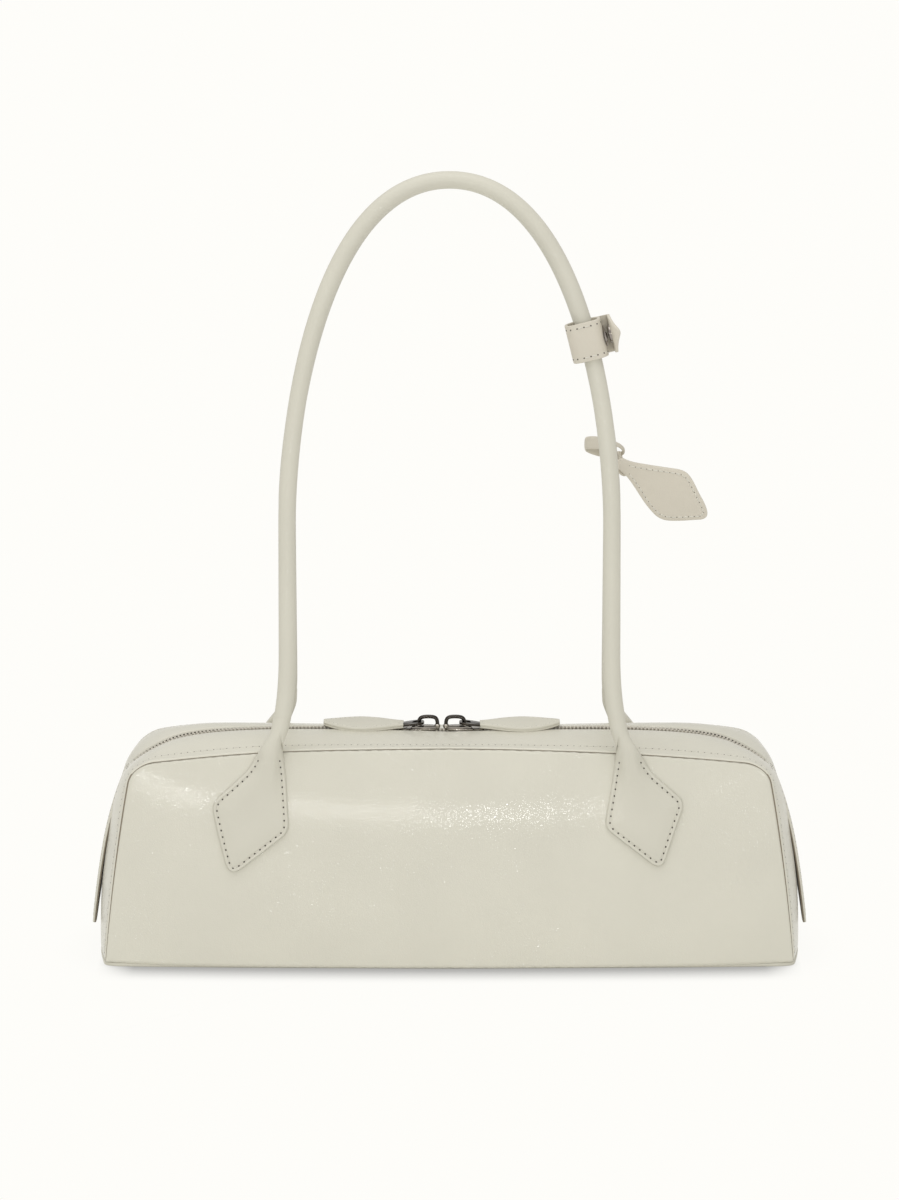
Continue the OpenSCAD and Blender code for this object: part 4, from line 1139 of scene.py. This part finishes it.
def turned(profile, steps=40):
    """Skin of a turned part: profile is (along X, radius) pairs between two axis points."""
    a = np.linspace(0, 2 * np.pi, steps, endpoint=False)
    rings = np.array([np.column_stack([np.full(steps, x), r * np.cos(a), r * np.sin(a)])
                      for x, r in profile])
    return ring_loft(rings)


points, faces = turned([(0, 5.2), (0.5, 5.4), (0.8, 5.3), (0.95, 4.6), (0.8, 3.6), (0.7, 2.6),
                        (0.9, 1.9), (1.4, 1.7), (1.55, 1.2)])
made = piece("snap_stud_metal", on_band(points + [KEEPER_HALF - 0.1, 0, 0]), faces, [BRIGHT],
             smooth=35)
dress(made, "bright_nickel", "keeper", "snap_stud")
points, faces = turned([(-1.3, 1.9), (-1.25, 3.4), (-1.0, 4.4), (-0.5, 4.7), (0, 4.7)])
made = piece("snap_socket_metal", on_flap(points + [-0.75, -FLAP_PIVOT[1], 0]), faces,
             [BRIGHT], smooth=35)
dress(made, "bright_nickel", "keeper_flap", "snap_socket")

# Tag on the rear handle.
# A narrow strap looped round the handle holds a leaf-shaped leather tag, sewn round its
# edge up to the strap, which sticks out to the right.
TAG_AT = np.array([81.25, 23.37, 254.92])
REAR_LEAN = math.radians(6.691)
TAG_EDGE = [(88.1, 250.6), (90.6, 249.2), (94.2, 247.9), (103.5, 246.3), (113.2, 244.8),
            (119.4, 243.9), (123.6, 240.7), (128.3, 230.9), (131.0, 226.2), (132.9, 220.6),
            (130.8, 217.8), (126, 217.6), (119.3, 217.1), (111.5, 217.1), (107.3, 218.7),
            (104.4, 221.4), (100.3, 226.4), (96.0, 233.3), (91.6, 240), (87.8, 243.6),
            (85.6, 245.4), (85.4, 248.6)]
LEAF_IN, LEAF_UP, LEAF_Y, STRAP_X, STRAP_Y = 0.4, 2.6, -7.9, 9.7, 7.0
tag_frame = turn_x(REAR_LEAN)


def on_tag(points):
    """Points of the tag's own frame put on the rear handle."""
    return points @ tag_frame.T + TAG_AT


def strap_loop():
    """Skin of the strap's loop: a flat band round an oval that drops towards its back, full
    width at its front and left and drawn in narrow where it turns back at the right."""
    a = np.linspace(0, 2 * np.pi, 96, endpoint=False)
    x, y = STRAP_X * np.cos(a), STRAP_Y * np.sin(a)
    n = unit(np.stack([STRAP_Y * np.cos(a), STRAP_X * np.sin(a)], -1))
    drop = 1.3 - (0.55 + 0.25 * ease(np.cos(a) / 0.8)) * y - 0.19 * x
    half = 3.3 - 2.1 * ease((np.cos(a) - 0.1) / 0.6)
    section = smooth_loop([(-0.7, -1), (0.7, -1), (0.7, 1), (-0.7, 1)], 2)
    return ring_round([np.column_stack([x - 1.9 + n[:, 0] * d, y + n[:, 1] * d, drop + h * half])
                       for d, h in section])


tail = smooth_loop([(4.2, -1.6), (3.6, -3.2), (3.8, -6.0), (4.8, -10.4), (8.0, -12.5),
                    (11.5, -10.5), (8.6, -6.4), (7.2, -4.0), (7.0, -1.6)], 2)
points, faces = ring_loft(pad(tail, [(0.3, 0), (0, 0.35), (0, 1.1), (0.3, 1.4)]))
points = np.stack([points[:, 0], points[:, 2] - 7.3 + 10.0 * ease((points[:, 1] + 8) / 6),
                   points[:, 1]], -1)
points, faces = joined([strap_loop(), (points, orient(points, faces))])
made = piece("tag_strap_leather", on_tag(points), faces, [PALE], smooth=50)
dress(made, "outer_leather", "tag", "tag_strap")

tag_edge = even(smooth_loop([(x - LEAF_IN - TAG_AT[0], z + LEAF_UP - TAG_AT[2])
                             for x, z in TAG_EDGE], 2), 0.6)
points, faces = ring_loft(leaf_rings(tag_edge, 1.2, 0.25, 0.12))
points = on_tag(np.stack([points[:, 0], LEAF_Y - points[:, 2], points[:, 1]], -1))
made = piece("tag_leaf_leather", points, orient(points, faces), [PALE], smooth=60)
dress(made, "outer_leather", "tag", "tag_leaf")
flat = edge_path(tag_edge, 2.0)
path = on_tag(stood(flat[flat[:, 0] > 10.5], LEAF_Y - 1.24))
sew("tag_stitches", "tag", path, np.tile(tag_frame @ [0, -1.0, 0], (len(path), 1)), 3.0,
    0.30, 0.24)

# Inside of the bag.
# A plain woven lining follows the walls, the ends and the base; a board stiffens the base
# under it, and a slip pocket is sewn to the rear lining.
cells = np.meshgrid(np.linspace(0, 0.975, 24), np.linspace(0.04, 0.955, 16), indexing="ij")
ends = np.meshgrid(np.linspace(0.03, 0.55, 24), np.linspace(0.09, 1, 12), indexing="ij")
for side_x, side_y in QUARTERS:
    face, end = FACES[side_y], SIDES[side_x]
    quarter_piece(f"lining_{face}_{end}", f"lining_{face}", "lining_cloth",
                  [panel(*cells, d) for d in (1.8, 2.3)], side_x, side_y, [LINING])
    quarter_piece(f"lining_end_{end}_{face}", f"lining_end_{end}", "lining_cloth",
                  [band(*ends, d) for d in (1.8, 2.3)], side_x, side_y, [LINING])
cells = np.meshgrid(np.linspace(0, 0.4, 16), np.linspace(0.15, 0.72, 16), indexing="ij")
right = panel(*cells, 2.5) * [1, -1, 1]
right[..., 1] -= 0.5 * np.sin(np.pi * cells[0] / 0.8) * (cells[1] - 0.15)
pocket = np.concatenate([(right * [-1, 1, 1])[::-1], right[1:]])
made = piece("inner_pocket_cloth", *shell(pocket, pocket - [0, 0.5, 0]), [LINING])
dress(made, "lining_cloth", "rear_wall", "inner_pocket")
for node, name, slot, low, high, material in (
        ("base_board", "base_board_fibre", "board", 2.4, 3.6, BACK),
        ("lining_base", "lining_base_cloth", "lining_cloth", 3.8, 4.3, LINING)):
    rings = [at_height(base_outline(d), z) for d, z in (
        (3.4, low), (3.1, low + 0.2), (3.1, high - 0.2), (3.4, high))]
    made = piece(name, *ring_loft(rings), [material])
    dress(made, slot, "base", node)

# Studio: a plain pale floor with a shadow painted close to the bag, soft light all
# round, a large box light above, two low strips in front and the camera.
BACKDROP, WHITE, FLOOR_HALF = (1.0, 0.992, 0.96, 1), 0.99, 4e4
floor_painted_shadow = paint("pale_floor_painted_shadow", (0.90, 0.90, 0.88), 0.9)
floor = piece("floor", np.array([(-1, -1, 0), (1, -1, 0), (1, 1, 0), (-1, 1, 0)]) * FLOOR_HALF,
              [(0, 1, 2, 3)], [floor_painted_shadow])
# Painted shadow: ambient occlusion darkens the floor's glow near the bag, faded out by x past
# its ends.
near = add_node(floor_painted_shadow, "ShaderNodeAmbientOcclusion", Distance=0.028)
near.samples = 16
tone = ramp(floor_painted_shadow, near, "AO", 0.56, 0.0, 0.52, 0.96)
where = add_node(floor_painted_shadow, "ShaderNodeTexCoord")
split = add_node(floor_painted_shadow, "ShaderNodeSeparateXYZ")
link(floor_painted_shadow, where, "Object", split, 0)
fade = ramp(floor_painted_shadow, maths(floor_painted_shadow, "ABSOLUTE", (split, "X")), 0, 1.0, 0.04, 0.160,
            0.179)
shade = maths(floor_painted_shadow, "MULTIPLY", (tone, "Result"), (fade, "Result"))
level = maths(floor_painted_shadow, "SUBTRACT", WHITE, (shade, 0))
glow = add_node(floor_painted_shadow, "ShaderNodeEmission", Color=BACKDROP)
link(floor_painted_shadow, level, 0, glow, "Strength")
rays = add_node(floor_painted_shadow, "ShaderNodeLightPath")
mirrored = maths(floor_painted_shadow, "ADD", (rays, "Is Glossy Ray"), (rays, "Is Transmission Ray"))
seen = maths(floor_painted_shadow, "ADD", (rays, "Is Camera Ray"), (mirrored, 0))
seen.use_clamp = True


def mixed(owner, share, first, second, out):
    """Sends a mix of two shaders to a material's or a world's output."""
    mix = add_node(owner, "ShaderNodeMixShader")
    for slot, (node, name) in enumerate((share, (first, 0), (second, 0))):
        link(owner, node, name, mix, slot)
    link(owner, mix, 0, owner.node_tree.nodes[out], "Surface")


mixed(floor_painted_shadow, (seen, 0), floor_painted_shadow.node_tree.nodes["Principled BSDF"], glow,
      "Material Output")
world = bpy.data.worlds.new("studio")
bpy.context.scene.world = world
world.use_nodes = True
sky = world.node_tree.nodes["Background"]
sky.inputs["Color"].default_value = (1.0, 0.985, 0.955, 1)
sky.inputs["Strength"].default_value = 0.69
backdrop = add_node(world, "ShaderNodeBackground", Color=BACKDROP, Strength=WHITE)
mixed(world, (add_node(world, "ShaderNodeLightPath"), "Is Camera Ray"), sky, backdrop,
      "World Output")


def lamp(name, place, aim, size, power):
    """Rectangular area light at a place, turned to its aim."""
    data = bpy.data.lights.new(name, "AREA")
    data.shape = "RECTANGLE"
    data.size, data.size_y = size
    data.energy = power
    made = placed(name, data)
    made.location = place
    way = mathutils.Vector(aim) - mathutils.Vector(place)
    made.rotation_euler = way.to_track_quat("-Z", "Y").to_euler()


lamp("top_box", (-0.3, -0.5, 2.2), (0, 0, 0.1), (2.0, 1.4), 17.0)
lamp("front_strip", (-0.24, -2.8, 0.50), (0, 0, 0.08), (1.06, 0.07), 8.0)
lamp("side_strip", (0.80, -2.8, 0.67), (0, 0, 0.08), (0.32, 0.16), 2.4)

AIM_UP, DISTANCE, LIFT = 0.1812, 2.3, math.radians(10.5)
SENSOR, PX_PER_MM, PICTURE_HIGH = 36.0, 1.963, 1200
camera_data = bpy.data.cameras.new("camera")
camera_data.sensor_width = SENSOR
camera_data.lens = SENSOR * PX_PER_MM * DISTANCE / MM / PICTURE_HIGH
camera = placed("camera", camera_data)
camera.location = (0, -DISTANCE * math.cos(LIFT), AIM_UP + DISTANCE * math.sin(LIFT))
camera.rotation_euler = (math.pi / 2 - LIFT, 0, 0)
bpy.context.scene.camera = camera
bpy.context.scene.view_settings.view_transform = "Standard"
